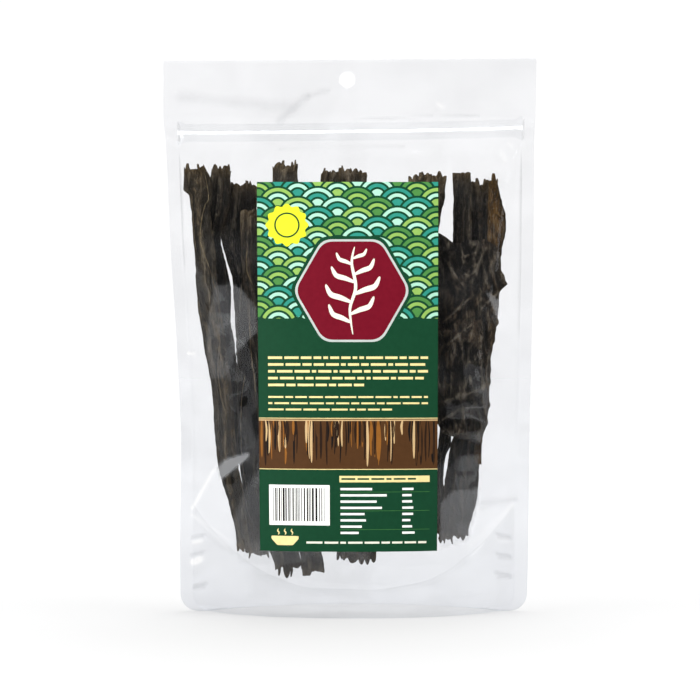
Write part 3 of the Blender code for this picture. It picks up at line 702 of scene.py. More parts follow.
def film_skin(x, z, side, offset):
    """Points of a film, moved outwards by an offset from its middle."""
    depth = half_depth(x, z)
    slope = np.gradient(depth, axis=1) / np.gradient(x, axis=1)
    slope[:, [0, -1]] = 0
    length = np.sqrt(1 + slope**2)
    room = np.clip((depth - CLOSED_HALF_DEPTH) / 2.5, 0, 1)
    out = depth + film_relief(x, z, side) * room + offset / length
    out = np.maximum(out, CLOSED_HALF_DEPTH + offset)
    y = side * np.minimum(out, DEEPEST) + header_lean(x, z) * (1 - room)
    return np.stack([x - offset * slope / length, y, z], -1)


def film_grid(columns, rows):
    """The x and z of the film's grid points, closer together in the seams and the foot."""
    u = np.linspace(0, 1, columns)
    u = u - 0.6 * np.sin(2 * np.pi * u) / (2 * np.pi)
    z = np.repeat((np.linspace(0, 1, rows) ** 1.12 * (POUCH_TOP - 0.7))[:, None], columns, 1)
    left, right = edges_at(z)
    x = left + (right - left) * u[None, :]
    return x, z + np.clip((z - 250) / 32, 0, 1) * 0.7 * x / 95.2


def drill(piece, x, z, radius):
    """Cuts a round hole through a piece along Y."""
    bpy.ops.mesh.primitive_cylinder_add(vertices=64, radius=radius * MM, depth=20 * MM)
    cutter = bpy.context.object
    cutter.location = (x * MM, 0, z * MM)
    cutter.rotation_euler = (math.pi / 2, 0, 0)
    bpy.context.view_layer.update()
    cut = piece.modifiers.new("hole", "BOOLEAN")
    cut.operation = "DIFFERENCE"
    cut.object = cutter
    shape = bpy.data.meshes.new_from_object(piece.evaluated_get(bpy.context.evaluated_depsgraph_get()))
    piece.modifiers.clear()
    piece.data = shape
    bpy.data.objects.remove(cutter)


def film(name, side, material):
    x, z = film_grid(*FILM_GRID)
    points, faces = sheet_mesh(*(film_skin(x, z, side, offset) for offset in (FILM / 2, -FILM / 2)))
    if side > 0:
        faces = faces[:, ::-1]
    painted_light = np.concatenate([film_painted_light(x, z, side).ravel()] * 2)
    piece = new_piece(name + "_sheet", points, faces, [material], attributes={"painted_light": painted_light})
    drill(piece, HOLE_X, HOLE_Z, HOLE_RADIUS)
    on_root(piece, "film", name)


def gusset(material):
    """The folded foot: flanges sealed inside both films, and an arch between them."""
    share = np.linspace(-1, 1, GUSSET_GRID[1])[:, None]
    left, right = edges_at(np.array(float(CORNER_RADIUS)))
    middle, half = (left + right) / 2, (right - left) / 2 - 6.5
    out = np.abs(share)
    x = middle + half * np.sign(share) * out**0.85
    seal = GUSSET_SEAL[0] + (GUSSET_SEAL[1] - GUSSET_SEAL[0]) * out**3
    ridge = GUSSET_RIDGE[0] + (GUSSET_RIDGE[1] - GUSSET_RIDGE[0]) * out**2.2
    t = np.linspace(0, 1, GUSSET_GRID[0])[None, :]
    over = np.clip((t - 0.4) / 0.6, 0, 1)
    z = seal * np.clip(t / 0.4, 0, 1) + (ridge - seal) * (1 - (1 - over) ** 2) ** 0.8
    x = x - np.sign(share) * corner_cut(z) * out**4
    reach = np.maximum(half_depth(x, np.minimum(z, seal)) - 0.45, 0.12)
    wrinkle = 0.5 * facets(x / 14, t * 4, 61) + 0.6 * wave(x / 12, t * 3, 0.5, 63)
    z = z + np.clip(over * 2, 0, 1) * wrinkle * 1.3
    front = np.stack([x, -reach * (1 - over), z], -1)
    line = np.concatenate([front, front[:, -2::-1] * (1, -1, 1)], 1)
    low = line.copy()
    arch = np.concatenate([over, over[:, -2::-1]], 1)[..., None]
    low -= arch * (0, 0, 0.2)
    towards = np.concatenate([-np.ones_like(t), np.ones_like(t)[:, 1:]], 1)[..., None]
    low[..., 1:2] -= towards * FILM * (1 - arch)
    on_root(new_piece("gusset_sheet", *sheet_mesh(line, low), [material]), "gusset_film", "gusset")


# Press-to-close strip


def zip_line(x):
    """Height of the strip's middle, which rises slightly and sags a little between its ends."""
    return ZIP_Z + ZIP_SLOPE * x - 0.5 * np.cos(x / ZIP_HALF * np.pi / 2) + 0.25 * wave(x / 31, 0, 1.5, 71)


def zip_strip(name, outline, materials, replaced):
    """An outline of (y, z) points drawn out along the strip, and crushed flat in the side seams."""
    x = np.linspace(-ZIP_HALF - 1, ZIP_HALF + 1, STRIP_STATIONS)[:, None]
    crushed = np.clip((np.abs(x) - (ZIP_HALF - 3)) / 3, 0, 1)
    y, rise = np.array(outline).T
    z = zip_line(x) + rise * (1 + 0.35 * crushed)
    rings = np.stack([np.repeat(x, len(y), 1), y * (1 - 0.72 * crushed), z], -1)
    bulk = np.abs(rise) < BEAD_HALF_HEIGHT
    slots = [*(bulk & np.roll(bulk, -1)).tolist() * (len(x) - 1), 0, 0]
    piece = new_piece(name, rings.reshape(-1, 3), tube_faces(rings), materials, face_slots=slots)
    piece.data.set_sharp_from_angle(angle=math.radians(40))
    on_root(piece, "zip", replaced)


def bead(y, z, radius, start, end, steps=7):
    """Points round part of a bead, between two angles in degrees."""
    turns = (math.radians(a) for a in np.linspace(start, end, steps))
    return [(y + radius * math.cos(a), z + radius * math.sin(a)) for a in turns]


RIB_OUTLINE = (
    (-1.1, -4.5), (-0.98, -4.5), (-0.9, -0.75), *bead(-0.35, 0, 0.5, -110, 110), (-0.9, 0.75),
    (-0.98, 4.5), (-1.1, 4.5), (-1.16, 0.75), *bead(-1, 0, 0.45, 110, 250), (-1.16, -0.75),
)
CHANNEL_OUTLINE = (
    (1.1, -4.5), (1.18, -1.4), (1.3, -0.9), (1.3, 0.9), (1.18, 1.4), (1.1, 4.5), (0.92, 4.5), (0.75, 1.5),
    *bead(0, 0.95, 0.28, 60, 250, 6), (0.45, 0.45), (0.45, -0.45), *bead(0, -0.95, 0.28, 110, 300, 6),
    (0.75, -1.5), (0.92, -4.5),
)


# Wakame


def frond_length(frond):
    return frond["path"][0][0] - frond["path"][-1][0]


def frond_edges(frond, s):
    """Left and right edge, middle depth, half thickness and height at shares s of the way down."""
    path, seed = frond["path"], frond["seed"]
    z = path[0][0] + (path[-1][0] - path[0][0]) * s
    if "outline" in frond:
        left, right = (down(frond["outline"], column, z) for column in (1, 2))
    else:
        half = along(frond["half_width"], s)
        left, right = down(path, 2, z) - half, down(path, 2, z) + half
    left = left - 0.40 * wave(z / 7, 0, 0.5, seed + 31) - 0.22 * wave(z / 1.9, 0, 1.5, seed + 32)
    right = right + 0.40 * wave(z / 6, 0, 2.5, seed + 33) + 0.22 * wave(z / 1.7, 0, 3.5, seed + 34)
    return left, right, down(path, 1, z), along(frond["half_thick"], s), z


def pleats(across, z, count, seed):
    """Overlapping lengthwise pleats that wander and merge, from 0 in a crease to about 1 on a crest."""
    q = across * count + 1.2 * wave(z / 60, 0, 0.5, seed) + 0.55 * wave(z / 21, across * 2.1, 1.5, seed + 1)
    q = q + 0.16 * wave(z / 6, across * 5, 2.5, seed + 2)
    number = np.floor(q)
    share = q - number

    def height(which, part):
        tall = 0.62 + 0.38 * wave(which * 3.7, z / 34, 3.5, seed + 3)
        leans_left = lattice(which.astype(np.int64), 0, 0, seed) < -0.1
        return tall * (0.25 + 0.75 * np.where(leans_left, 1 - part, part) ** 1.2)

    turn = eased(np.clip((share - 0.80) / 0.20, 0, 1))
    return height(number, share) * (1 - turn) + height(number + 1, 0 * share) * turn


def frond_side(frond, across, s, side):
    """Points, crest heights and thin parts of the front (side -1) or back (side 1) of a frond."""
    left, right, y, thick, z = frond_edges(frond, s)
    seed = frond["seed"] + (0 if side < 0 else 400)
    count = frond.get("pleats", 3.4)
    level = 0.70 * pleats(across, z, count, seed) + 0.26 * pleats(across, z * 1.3, count * 2.6, seed + 10)
    level = level + 0.05 * wave(across * 9, z / 2.4, 0.5, seed + 20)
    edge = np.minimum(across, 1 - across)
    round_off = np.clip(1 - (1 - np.clip(edge * 3.2, 0, 1)) ** 2, 0, 1) ** 0.5
    top_end, low_end = s * frond_length(frond), (1 - s) * frond_length(frond)
    to_end = np.minimum(top_end, low_end)
    near = np.exp(-to_end / 3.5)
    depth = (0.22 + thick * round_off * (0.16 + 0.95 * level)) * (1 - 0.62 * near)
    # The torn end: lobes of uneven height
    upper = top_end < low_end
    lobes = np.where(upper, frond["seed"], frond["seed"] + 50)
    number = across * np.maximum(right - left, 1) / np.where(upper, 3.1, frond.get("low_lobe", 3.4))
    number = number + 1.0 * wave(across * 3.3, lobes * 1.7, 0.5, 77)
    which = np.floor(number).astype(np.int64)
    lobe = np.abs(np.sin(np.pi * number)) ** 0.55
    tall = 1.9 + 1.3 * lattice(which, lobes, 0, 91)
    reach = lobe * tall - 1.2 + 1.6 * wave(across * 1.7, lobes * 2.3, 1.5, 79)
    reach = reach * np.where(upper, frond.get("ragged", 1.05), frond.get("low_ragged", 1.0))
    near_top, near_low = (np.clip(1 - end / TORN_END, 0, 1) ** 2 for end in (top_end, low_end))
    z = z + reach * (near_top - near_low)
    middle = y + 1.1 * lattice(which, lobes + 3, 0, 93) * lobe * np.exp(-to_end / 2.6)
    # Painted shade and light: crest heights from the pleats, raised near the torn ends as a painted rim
    # light
    crest = np.clip(level * 1.15 - 0.1 + 0.25 * near, 0, 1)
    # Painted light: ends and edges count as thin, which colours them brown as where light shines through
    thin = np.clip(near * 0.9 + np.exp(-edge * 22) * 0.45, 0, 1)
    return np.stack([left + (right - left) * across, middle + side * depth, z], -1), crest, thin


def frond_body(frond):
    """Points, faces, crest heights and thin parts of a pleated frond."""
    columns, rings = FROND_GRID
    s = np.linspace(0, 1, rings)[:, None]
    across = (1 - np.cos(np.linspace(0, np.pi, columns))) / 2 * 0.5 + np.linspace(0, 1, columns) * 0.5
    front = frond_side(frond, across[None, :], s, -1)
    back = frond_side(frond, across[None, ::-1], s, 1)
    points, crest, thin = (np.concatenate([f, b[:, 1:-1]], 1) for f, b in zip(front, back))
    around = points.shape[1]
    faces = grid_faces(rings, around, around=True).tolist()
    for start in (0, (rings - 1) * around):
        for i in range(columns - 1):
            a, b = start + i, start + i + 1
            c, d = start + (around - i) % around, start + around - i - 1
            cap = [a, b, d, c] if i else [a, b, d]
            if i == columns - 2:
                cap = [a, b, c]
            faces.append(cap if start else cap[::-1])
    return points.reshape(-1, 3), faces, crest.ravel(), thin.ravel()


def prong(frond, at_top, across, reach, width, lean, seed):
    """A thin torn strip that stands out of a frond's end."""
    t = np.linspace(0, 1, PRONG_STATIONS)
    length = frond_length(frond)
    run = t * (reach + PRONG_ROOT) - PRONG_ROOT
    s = np.clip((-run if at_top else length + run) / length, 0, 1)
    left, right, y, _, z = frond_edges(frond, s)
    z = z + np.where(run > 0, run if at_top else -run, 0)
    x = left + (right - left) * across + lean * t**1.6 * reach * 0.35 + 0.3 * wave(t * 3, 0, 0.5, seed)
    half = width / 2 * (1 - 0.55 * t**3)
    y = y + 0.8 * wave(t * 2, 0, 1.5, seed) - 0.6 * lean * t
    corners = ((-1, -0.28), (0, -0.4), (1, -0.28), (1, 0.28), (0, 0.2), (-1, 0.28))
    rings = np.stack([np.stack([x + half * cx, y + cy, z], -1) for cx, cy in corners], 1)
    count = rings.size // 3
    # Torn strips count as thin and fairly raised: painted light through and on them
    return rings.reshape(-1, 3), tube_faces(rings, at_top), np.full(count, 0.6), np.full(count, 0.7)


def merge_piece(name, parts, material, slot, *replaced):
    """Joins (points, faces, crest heights, thin parts) into one piece."""
    starts = np.cumsum([0] + [len(part[0]) for part in parts]).tolist()
    faces = [[i + start for i in face] for start, part in zip(starts, parts) for face in part[1]]
    points, crest, thin = (np.concatenate([part[i] for part in parts]) for i in (0, 2, 3))
    piece = new_piece(name, points, faces, [material], attributes={"crest": crest, "thin": thin})
    on_root(piece, slot, *replaced)


def frond_piece(name, material, slot):
    frond = FRONDS[name]
    parts = [frond_body(frond)]
    pick = np.random.default_rng(frond["seed"])
    for i in range(frond.get("prongs", 4)):
        chosen = [pick.uniform(*limits) for limits in ((0.1, 0.9), (0.8, 2.6), (1.2, 2.6), (-1, 1))]
        parts.append(prong(frond, i % 2 == 0, *chosen, frond["seed"] * 31 + i))
    merge_piece(name + "_leaf", parts, material, slot, name)


# Midribs of each frond: half width, then the (x, z) down its front, in mm
MIDRIBS = {
    "frond_left_outer": (
        (
            0.3, (-74.2, 223.9), (-72.7, 216.2), (-71.9, 210.1), (-73.7, 206.6), (-75.5, 198.4),
            (-76, 190.2), (-74.7, 184.1), (-72.2, 177), (-70.1, 170.9), (-68.3, 163.7),
        ),
        (0.22, (-66.8, 150), (-66.2, 138), (-67, 124), (-65.4, 110), (-62.6, 98), (-63, 80)),
    ),
    "frond_left_front": (
        (0.3, (-52.3, 184.6), (-52.3, 174.9), (-49.2, 166.2)),
        (0.22, (-50.4, 150), (-50.9, 138), (-50, 126), (-51.2, 112)),
    ),
    "frond_left_back": ((0.2, (-53.6, 120), (-55.2, 108), (-55.6, 92), (-54.8, 76), (-52.4, 62)),),
}


def midrib(frond, line, half_width):
    """A thin pale rib that runs down the front of a frond."""
    t = np.linspace(0, 1, MIDRIB_STATIONS)
    x, z = (along(values, t) for values in zip(*line))
    x = x + 0.15 * wave(z / 4, 0, 0.5, 171)
    s = (frond["path"][0][0] - z) / frond_length(frond)
    left, right, _, _, _ = frond_edges(frond, s)
    front = frond_side(frond, np.clip((x - left) / (right - left), 0.06, 0.94), s, -1)[0]
    half = half_width * (0.45 + 0.55 * np.sin(np.pi * np.clip(t, 0.02, 0.98)) ** 0.5)
    half = half * (1 + 0.25 * wave(z / 3, 0, 1.5, 173))
    x, y, _ = front.T
    turns = np.linspace(0, 2 * np.pi, 6, endpoint=False)
    rings = [np.stack([x + half * math.cos(a), y - 0.05 - 0.22 * math.sin(a), z], -1) for a in turns]
    rings = np.stack(rings, 1)
    count = rings.size // 3
    return rings.reshape(-1, 3), tube_faces(rings, True), np.full(count, 0.8), np.zeros(count)


def midribs(material):
    for name, ribs in MIDRIBS.items():
        parts = [midrib(FRONDS[name], line, half_width) for half_width, *line in ribs]
        merge_piece(name.replace("frond", "midrib"), parts, material, "wakame")


# Folds of the broad leaf, as x and z of one end, of the other end, height, and half width, in mm
LEAF_FOLDS = (
    (47, 179.5, 58.2, 163, 2, 1.1), (69.5, 187, 59.4, 163, 2.2, 1.2), (63, 186, 58, 172, -2.4, 2.8),
    (54, 182, 57, 171, -1.2, 1.8), (55, 179.5, 66, 183.5, 1.1, 0.8), (75, 184, 70, 168, 1.4, 1.8),
    (66, 172, 62.5, 158, -1.6, 2.2), (79.5, 166.5, 65.5, 152.8, 2.3, 0.8), (74.5, 167, 66, 158.5, -1.3, 1.3),
    (62, 160, 47, 147.8, 2, 0.8), (49, 168, 54.5, 158.5, -2, 2.4), (57, 151.5, 49, 145.2, -1.4, 1.4),
    (62, 146.5, 47, 135, 1.7, 0.8), (73, 161, 72, 143, 1.5, 1.4), (67.5, 150, 70, 132, -1.8, 1.6),
    (62, 146, 56, 104, 1.6, 1.1), (58.5, 138, 59.5, 118, -2.2, 1.6), (66, 146, 67, 104, 1.5, 1.2),
    (70.5, 134, 68, 112, 1.2, 1), (53, 138, 50, 104, 1.3, 1.4), (47, 133, 46, 110, -1.3, 1.6),
    (45, 106, 68, 113, 1.7, 0.8), (45, 101, 66, 108, -1.6, 0.9), (44, 96, 58, 105, 1.6, 0.8),
)


def soften(values, cells):
    """Values averaged over a square of grid cells."""
    size = 2 * cells + 1
    for axis in (0, 1):
        count = values.shape[axis]
        ends = [(cells, cells) if axis == i else (0, 0) for i in (0, 1)]
        total = np.cumsum(np.pad(values, ends, "edge"), axis)
        total = np.concatenate([np.zeros_like(total.take([0], axis)), total], axis)
        values = (total.take(range(size, size + count), axis) - total.take(range(count), axis)) / size
    return values


def broad_leaf(material):
    v = np.linspace(0, len(LEAF_ROWS) - 1, LEAF_GRID[1])[:, None]
    columns = (smooth_through(list(enumerate(column)), v) for column in zip(*LEAF_ROWS))
    left_z, left_x, right_z, right_x = columns
    across = np.linspace(0, 1, LEAF_GRID[0])[None, :]
    x = left_x + (right_x - left_x) * across
    z = left_z + (right_z - left_z) * across
    edge = np.minimum(across, 1 - across)
    x = x + np.exp(-edge / 0.03) * np.sign(across - 0.5) * 0.9 * wave(z / 3, 0, 0.5, 131)
    x = x + 1.6 * np.exp(-np.abs((z - 166.6) / 2.0)) * across**5
    z = z + np.exp(-np.minimum(v, v[-1] - v) / 0.12) * 0.9 * wave(x / 3, 0, 1.5, 133)
    hump = 1.6 * np.exp(-(((x - 68) / 4) ** 2)) - 3.4 * np.exp(-(((x - 53.5) / 4.5) ** 2))
    z = z + np.clip(1 - v / 2.5, 0, 1) ** 2 * hump
    bow = LEAF_FRONT - LEAF_WRAP * np.abs(2 * across - 0.9) ** 2.2
    warp = 4 * wave(x / 16, z / 16, 0.5, 135)
    relief = fold_heights(x + warp * 0.3, z + warp * 0.5, LEAF_FOLDS)
    creases = 1.5 * facets((x + warp) / 9, (z + warp) / 13, 137)
    relief += creases + 0.7 * facets((x - warp) / 4.5, (z + warp) / 7, 138)
    relief += 0.7 * (1 - 2.4 * np.abs(wave((x + z * 0.25) / 4.2, z / 17, 2.5, 139)))
    relief += 0.22 * wave(x / 1.3, z / 6, 3.5, 141) + 0.16 * wave(x / 1.2, z / 1.2, 4.5, 143)
    relief = np.clip(relief, -3.4, 3.2)
    room = half_depth(x, z) - 1.2
    depth = np.minimum(bow + relief, room - 0.25 * np.clip(room - bow - relief, -2, 0))
    outer, inner = (np.stack([x, half - depth, z], -1)[::-1] for half in (-LEAF_THICK / 2, LEAF_THICK / 2))
    points, faces = sheet_mesh(outer, inner)
    # Painted shade and light: the relief's hollows darker and its ridges lighter
    raised = relief - soften(relief, 5)
    crest = np.clip(0.34 + raised * 0.85 + relief * 0.07 + 0.2 * wave(x / 2, z / 9, 5.5, 145), 0, 1)[::-1]
    # Painted light: the leaf's edges count as thin, which colours them brown as where light shines through
    thin = (np.exp(-edge / 0.05) * 0.7 + 0 * z)[::-1]
    attributes = {"crest": np.concatenate([crest.ravel()] * 2), "thin": np.concatenate([thin.ravel()] * 2)}
    piece = new_piece("leaf_right_leaf", points, faces, [material], attributes=attributes)
    on_root(piece, "wakame_leaf", "leaf_right")


# Label, in mm from its lower left corner

HEXAGON_MIDDLE, HEXAGON_RADIUS = (47.5, 130), 28.5
ROSETTE_MIDDLE = (15, 163)


class Print:
    """Flat printed shapes, in mm from the label's lower left corner, each over the ones before."""

    def __init__(self, ground):
        self.inks = [ground]
        self.shapes = []
        self.colors = []
        self.rectangle(ground, 0, 0, LABEL_WIDTH, LABEL_HEIGHT)

    def shape(self, ink, points):
        if ink not in self.inks:
            self.inks.append(ink)
        self.shapes.append([(float(u), float(v)) for u, v in points])
        self.colors.append(self.inks.index(ink))

    def rectangle(self, ink, left, bottom, right, top):
        self.shape(ink, ((left, bottom), (right, bottom), (right, top), (left, top)))

    def around(self, ink, u, v, reach, turns):
        """A shape round a point, with its reach at each turn."""
        self.shape(ink, np.stack([u + reach * np.cos(turns), v + reach * np.sin(turns)], -1))

    def stroke(self, ink, line, width, steps=24):
        """A line through points that tapers to both ends."""
        t = np.linspace(0, 1, steps)
        u, v = (along(values, t) for values in zip(*line))
        du, dv = np.gradient(u), np.gradient(v)
        length = np.hypot(du, dv)
        half = width / 2 * np.sin(np.pi * np.clip(t, 0.02, 0.98)) ** 0.6
        nu, nv = -dv / length * half, du / length * half
        left, right = np.stack([u + nu, v + nv], -1), np.stack([u - nu, v - nv], -1)
        self.shape(ink, np.concatenate([right, left[::-1]]))

    def text_bars(self, ink, left, right, top, rows, pitch, height, seed, last=0.6):
        """Rows of short bars of uneven length, in place of lines of words."""
        pick = np.random.default_rng(seed)
        for row in range(rows):
            v = top - row * pitch
            end = left + (right - left) * (last if row == rows - 1 else 1)
            u = left
            while u < end - 1.5:
                word = min(pick.uniform(2.0, 8.5), end - u)
                self.rectangle(ink, u, v - height, u + word, v)
                u += word + 1.1


def rounded(points, radius, steps=7):
    """A polygon with rounded corners."""
    points = np.array(points, float)
    made = []
    for before, corner, after in zip(np.roll(points, 1, 0), points, np.roll(points, -1, 0)):
        start = corner + (before - corner) / np.hypot(*(before - corner)) * radius
        end = corner + (after - corner) / np.hypot(*(after - corner)) * radius
        for t in np.linspace(0, 1, steps):
            made.append(start * (1 - t) ** 2 + corner * 2 * t * (1 - t) + end * t * t)
    return made


def wave_scales(art):
    """Rows of overlapping scales, each of nested arches."""
    rings = ((10.0, 0), (8.9, 1), (7.2, 0), (6.1, 2), (4.4, 0), (3.3, 1))
    tones = (("lime", "mint"), ("teal", "mint"), ("leaf", "lime"), ("mint", "teal"))
    turns = np.radians(np.linspace(24, 156, 19))
    row = 0
    v = LABEL_HEIGHT + 3
    while v > 110:
        for column in range(-1, 6):
            u = column * 20 + (10 if row % 2 else 0) + 0.5
            palette = ("ground", *tones[(column * 3 + row * 5 + row // 3) % 4])
            for radius, tone in rings:
                arch = [(u + radius * math.cos(t), v + radius * math.sin(t)) for t in turns]
                art.shape(palette[tone], [(u, v - 1.5), *arch])
        v -= 5
        row += 1


def sprig(art):
    """A pale frond of seaweed with curling side leaves."""
    art.stroke("pale", ((48, 108), (46.5, 120), (49.5, 132), (47.5, 144), (49, 152)), 1.6)
    for u, v, reach, rise, width in (
        (46.9, 114, -11, 9, 2.6), (46.6, 118, 12, 9, 2.6), (47.4, 124, -13, 9, 2.8), (48.6, 128, 13, 9, 2.8),
        (49.3, 134, -12, 8, 2.5), (48.8, 138, 10, 8, 2.4), (47.8, 143, -8, 6, 2.0), (48, 146, 7, 5, 1.8),
    ):
        steps = ((0, 0), (0.4, 0.25), (0.8, 0.45), (1, 1))
        art.stroke("pale", [(u + reach * out, v + rise * up) for out, up in steps], width)


def hanging_fronds(art, left, bottom, right, top):
    """A brown panel of long hanging fronds under a rail."""
    pick = np.random.default_rng(211)
    art.rectangle("bark", left, bottom, right, top)
    for _ in range(120):
        u = pick.uniform(left + 1.2, right - 1.2)
        length = pick.uniform(0.3, 0.95) * (top - bottom)
        sway = pick.uniform(-0.8, 0.8)
        ink = ("dark_bark", "amber", "black", "dark_bark", "tan", "bark")[pick.integers(6)]
        line = ((u, top - 0.6), (u + sway, top - length * 0.5), (u + sway * 0.4, top - length))
        art.stroke(ink, line, pick.uniform(0.5, 1.5), 9)
    art.rectangle("tan", left, top - 1.1, right, top - 0.5)
    art.rectangle("cream", left, top, right, top + 0.35)
    art.rectangle("cream", left, bottom - 0.35, right, bottom)


def label_print():
    art = Print("ground")
    wave_scales(art)
    art.rectangle("ground", 0, 0, LABEL_WIDTH, 116)
    middle = np.array(HEXAGON_MIDDLE)
    turns = np.radians(range(0, 360, 60))
    corners = [middle + HEXAGON_RADIUS * np.array((math.cos(a), math.sin(a))) for a in turns]
    for ink, grow in (("ground", 1.11), ("silver", 1.045), ("wine", 1)):
        art.shape(ink, rounded([middle + (corner - middle) * grow for corner in corners], 5))
    sprig(art)
    petals = np.linspace(0, 2 * np.pi, 96, endpoint=False)
    circle = np.linspace(0, 2 * np.pi, 64, endpoint=False)
    art.around("sun", *ROSETTE_MIDDLE, 10.2 + 0.7 * np.cos(12 * petals), petals)
    art.around("ground", *ROSETTE_MIDDLE, 6.4, circle)
    art.around("sun", *ROSETTE_MIDDLE, 5.6, circle)
    art.text_bars("cream", 5, 86, 97, 5, 3.4, 1.25, 5)
    art.text_bars("cream", 5, 86, 77.2, 3, 3.1, 0.9, 9, 0.8)
    hanging_fronds(art, 0, 41, LABEL_WIDTH, 66)
    # The table of bars
    art.rectangle("cream", 41, 34.4, 87, 37.6)
    art.text_bars("ground", 42, 80, 36.5, 1, 3, 0.9, 21, 1)
    pick = np.random.default_rng(33)
    for row in range(8):
        v = 31.6 - row * 3.1
        art.rectangle("white", 41.5, v - 1.1, 41.5 + pick.uniform(9, 25), v)
        art.rectangle("white", 73, v - 1.1, 73 + pick.uniform(4, 7), v)
        if row in (0, 3, 6):
            art.rectangle("leaf", 41, v - 2.1, 87, v - 1.95)
    # The block of made-up bars, and the bowl
    art.rectangle("white", 5, 13, 36, 33)
    u = 7.0
    while u < 33.5:
        width = (0.3, 0.45, 0.7, 1.0)[pick.integers(4)]
        art.rectangle("black", u, 15, u + width, 31.5)
        u += width + (0.35, 0.5, 0.8)[pick.integers(3)]
    art.shape("cream", rounded(((6, 6.2), (9, 3.0), (17, 3.0), (20, 6.2), (20, 7.6), (6, 7.6)), 0.6))
    for steam in (9.5, 13, 16.5):
        line = ((steam, 8.2), (steam + 0.5, 9.2), (steam - 0.3, 10.2), (steam + 0.2, 11.2))
        art.stroke("cream", line, 0.7, 9)
    art.text_bars("pale", 24, 87, 5.0, 1, 3, 1.0, 41, 1)
    return art


def label_point(u, v, out):
    """Points of the label on the film's outer face, moved outwards."""
    up, over = v / LABEL_HEIGHT, u / LABEL_WIDTH
    left = LABEL_LEFT[0] + (LABEL_LEFT[1] - LABEL_LEFT[0]) * up
    right = LABEL_RIGHT[0] + (LABEL_RIGHT[1] - LABEL_RIGHT[0]) * up
    x = left + (right - left) * over
    z = LABEL_BOTTOM + (LABEL_TOP - LABEL_BOTTOM) * up
    swell = 0.12 * wave(x / 24, z / 30, 0.5, 151) * np.clip(np.minimum(over, 1 - over) * 8, 0, 1)
    return np.stack([x, -half_depth(x, z) - FILM / 2 - out - swell - 0.12, z], -1)


def label():
    """The printed sheet, cut along its shapes and along lines that let it bend."""
    art = label_print()
    points, shapes, edges = [], [], []
    for shape in art.shapes:
        shapes.append(list(range(len(points), len(points) + len(shape))))
        points += shape
    across, up = ([i / count for i in range(1, count)] for count in LABEL_BENDS)
    lines = [((s * LABEL_WIDTH, 0), (s * LABEL_WIDTH, LABEL_HEIGHT)) for s in across]
    lines += [((0, s * LABEL_HEIGHT), (LABEL_WIDTH, s * LABEL_HEIGHT)) for s in up]
    for ends in lines:
        edges.append((len(points), len(points) + 1))
        points += ends
    found = geometry.delaunay_2d_cdt([Vector(p) for p in points], edges, shapes, 1, 0.004, True)
    kept = [(face, max(inside)) for face, inside in zip(found[2], found[5]) if 0 in inside]
    used = sorted({i for face, _ in kept for i in face})
    where = {i: new for new, i in enumerate(used)}
    faces = [[where[i] for i in face] for face, _ in kept]
    slots = [art.colors[top] for _, top in kept]
    sides = {(a, b): None for face in faces for a, b in zip(face, face[1:] + face[:1])}
    count = len(used)
    back = [[i + count for i in reversed(face)] for face in faces]
    around = [[b, a, a + count, b + count] for a, b in sides if (b, a) not in sides]
    slots += [len(art.inks)] * (len(back) + len(around))
    materials = [print_material("print_" + ink, ink) for ink in art.inks]
    materials.append(print_material("label_paper", "white"))
    u, v = np.array([tuple(found[0][i]) for i in used]).T
    points = np.concatenate([label_point(u, v, LABEL_THICK), label_point(u, v, 0)])
    piece = new_piece("label_sheet", points, faces + back + around, materials, face_slots=slots)
    piece.data.set_sharp_from_angle(angle=math.radians(50))
    on_root(piece, "label", "label")


# Studio

CAMERA_DISTANCE, CAMERA_HEIGHT, CAMERA_LENS = 1.1, 0.1331, 110.9
# Lamps: place, what they aim at, size, power, and whether they light the film and the floor too
LAMPS = {
    "key": ((-0.85, -1.0, 0.80), (0, 0, 0.13), (0.6, 0.6), 29, False),
    "fill": ((1.15, -0.85, 0.5), (0, 0, 0.13), (0.8, 1.0), 6, False),
    "back_key": ((0.85, 1.0, 0.80), (0, 0, 0.13), (0.7, 0.7), 30, False),
    "left_card": ((-0.92, -0.95, 0.12), (-0.05, 0, 0.11), (0.36, 0.14), 0.20, True),
    "right_card": ((1.05, -0.75, 0.27), (0.05, 0, 0.14), (0.12, 0.12), 0.07, True),
    "right_low_card": ((1.02, -0.80, 0.03), (0.05, 0, 0.05), (0.3, 0.05), 0.08, True),
    "left_upper_card": ((-1.05, -0.30, 1.0), (0, 0, 0.1), (0.6, 0.3), 3.4, True),
    "right_upper_card": ((1.05, -0.30, 1.0), (0, 0, 0.1), (0.6, 0.3), 3.4, True),
}
# Pieces that the strong lamps would bleach
UNLIT = ("film_front_sheet", "film_back_sheet", "gusset_sheet", "zip_channel_strip")


def new_object(name, data):
    made = bpy.data.objects.new(name, data)
    bpy.context.scene.collection.objects.link(made)
    return made


def white_floor():
    """A floor that glows more further out, so that it runs into the white behind it."""
    mesh = bpy.data.meshes.new("floor")
    mesh.from_pydata([(-9, -9, 0), (9, -9, 0), (9, 9, 0), (-9, 9, 0)], [], [(0, 1, 2, 3)])
    n = new_material("floor_paper")
    n.set(Base_Color=(0.45, 0.45, 0.45, 1), Roughness=0.9, Specular_IOR_Level=0.0)
    out = n.add("ShaderNodeVectorMath", {0: n.place()}, operation="LENGTH").outputs["Value"]
    n.set(Emission_Color=(1, 1, 1, 1), Emission_Strength=n.span(out, 0.14, 0.60, 0.475, 0.60))
    mesh.materials.append(n.owner)
    floor = new_object("floor", mesh)
    return floor


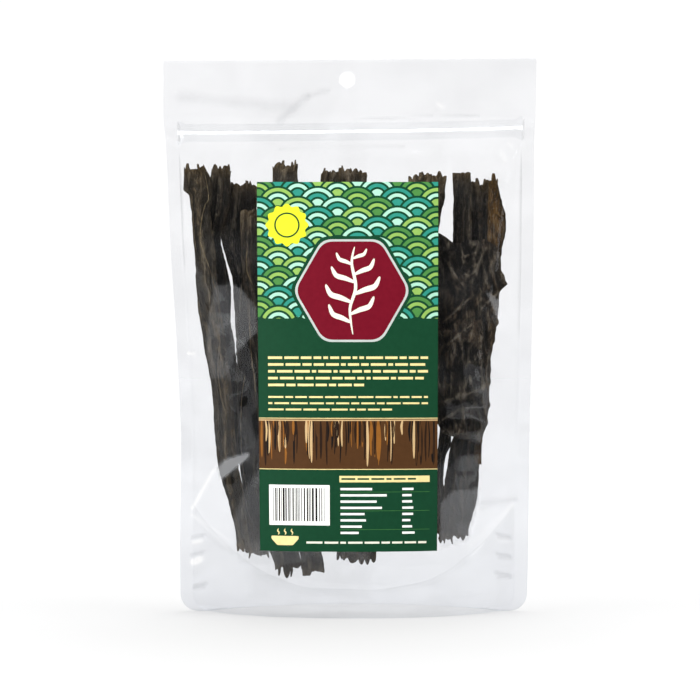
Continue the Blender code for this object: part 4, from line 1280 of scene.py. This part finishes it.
def white_room():
    """A white world to look at, whose light comes mostly from the sides."""
    world = bpy.data.worlds.new("studio")
    bpy.context.scene.world = world
    n = Nodes(world)
    seen = n.add("ShaderNodeLightPath").outputs["Is Camera Ray"]
    way_out = n.add("ShaderNodeTexCoord").outputs["Generated"]
    forward = n.math("ABSOLUTE", n.add("ShaderNodeSeparateXYZ", {0: way_out}).outputs["Y"])
    around = n.span(forward, 0.08, 0.42, 0.75, 0.04, interpolation_type="SMOOTHSTEP")
    shade = n.add("ShaderNodeMix", {0: seen, 2: around, 3: 1.04}, data_type="FLOAT").outputs[0]
    n.fill(n.tree.nodes["Background"], {"Strength": shade, "Color": (1, 1, 1, 1)})


def studio():
    floor = white_floor()
    white_room()
    sun = bpy.data.lights.new("sky_light", "SUN")
    sun.energy = 2.5
    sun.angle = math.radians(70)
    new_object("sky_light", sun).rotation_euler = (math.radians(-22), math.radians(6), 0)
    shielded = bpy.data.collections.new("unlit_by_strong_lamps")
    for i, piece in enumerate([floor, *(bpy.data.objects[name] for name in UNLIT)]):
        shielded.objects.link(piece)
        shielded.collection_objects[i].light_linking.link_state = "EXCLUDE"
    for name, (place, aim, size, power, on_film) in LAMPS.items():
        lamp = bpy.data.lights.new(name, "AREA")
        lamp.shape = "RECTANGLE"
        lamp.size, lamp.size_y = size
        lamp.energy = power
        light = new_object(name, lamp)
        light.location = place
        light.rotation_euler = (Vector(aim) - Vector(place)).to_track_quat("-Z", "Y").to_euler()
        light.visible_camera = False
        if not on_film:
            light.light_linking.receiver_collection = shielded


def camera():
    lens = bpy.data.cameras.new("camera")
    lens.lens = CAMERA_LENS
    lens.sensor_width = 36
    made = new_object("camera", lens)
    made.location = (0, -CAMERA_DISTANCE, CAMERA_HEIGHT)
    made.rotation_euler = (math.pi / 2, 0, 0)
    bpy.context.scene.camera = made


def main():
    scene = bpy.context.scene
    scene.view_settings.view_transform = "Standard"
    scene.cycles.transparent_max_bounces = 32
    camera()
    clear = film_material("pouch_film", (0.983, 0.984, 0.988), 0.003, 0.05, foot_shade=FOOT_SHADE)
    film("film_front", -1, clear)
    film("film_back", 1, clear)
    gusset(film_material("foot_film", (0.997, 0.9975, 0.998), 0.002, 0.2, 0.004, 0.03))
    strip = film_material("zip_plastic", (0.996, 0.997, 0.998), 0.003, 0.12, 0.01, 0.3)
    # The bead's white paints the rib's bright highlight as well as its milky plastic
    zip_strip("zip_rib_strip", RIB_OUTLINE, [strip, milky_highlight_material("zip_bead_highlight")], "zip_rib")
    zip_strip("zip_channel_strip", CHANNEL_OUTLINE, [strip, strip], "zip_channel")
    label()
    looks = {look: wakame_material(look) for look in WAKAME}
    for name in FRONDS:
        slot = "wakame_blade" if name == "frond_right_blade" else "wakame"
        frond_piece(name, looks[FROND_LOOKS.get(name, "dried")], slot)
    midribs(looks["midrib"])
    broad_leaf(looks["crumpled"])
    studio()


main()
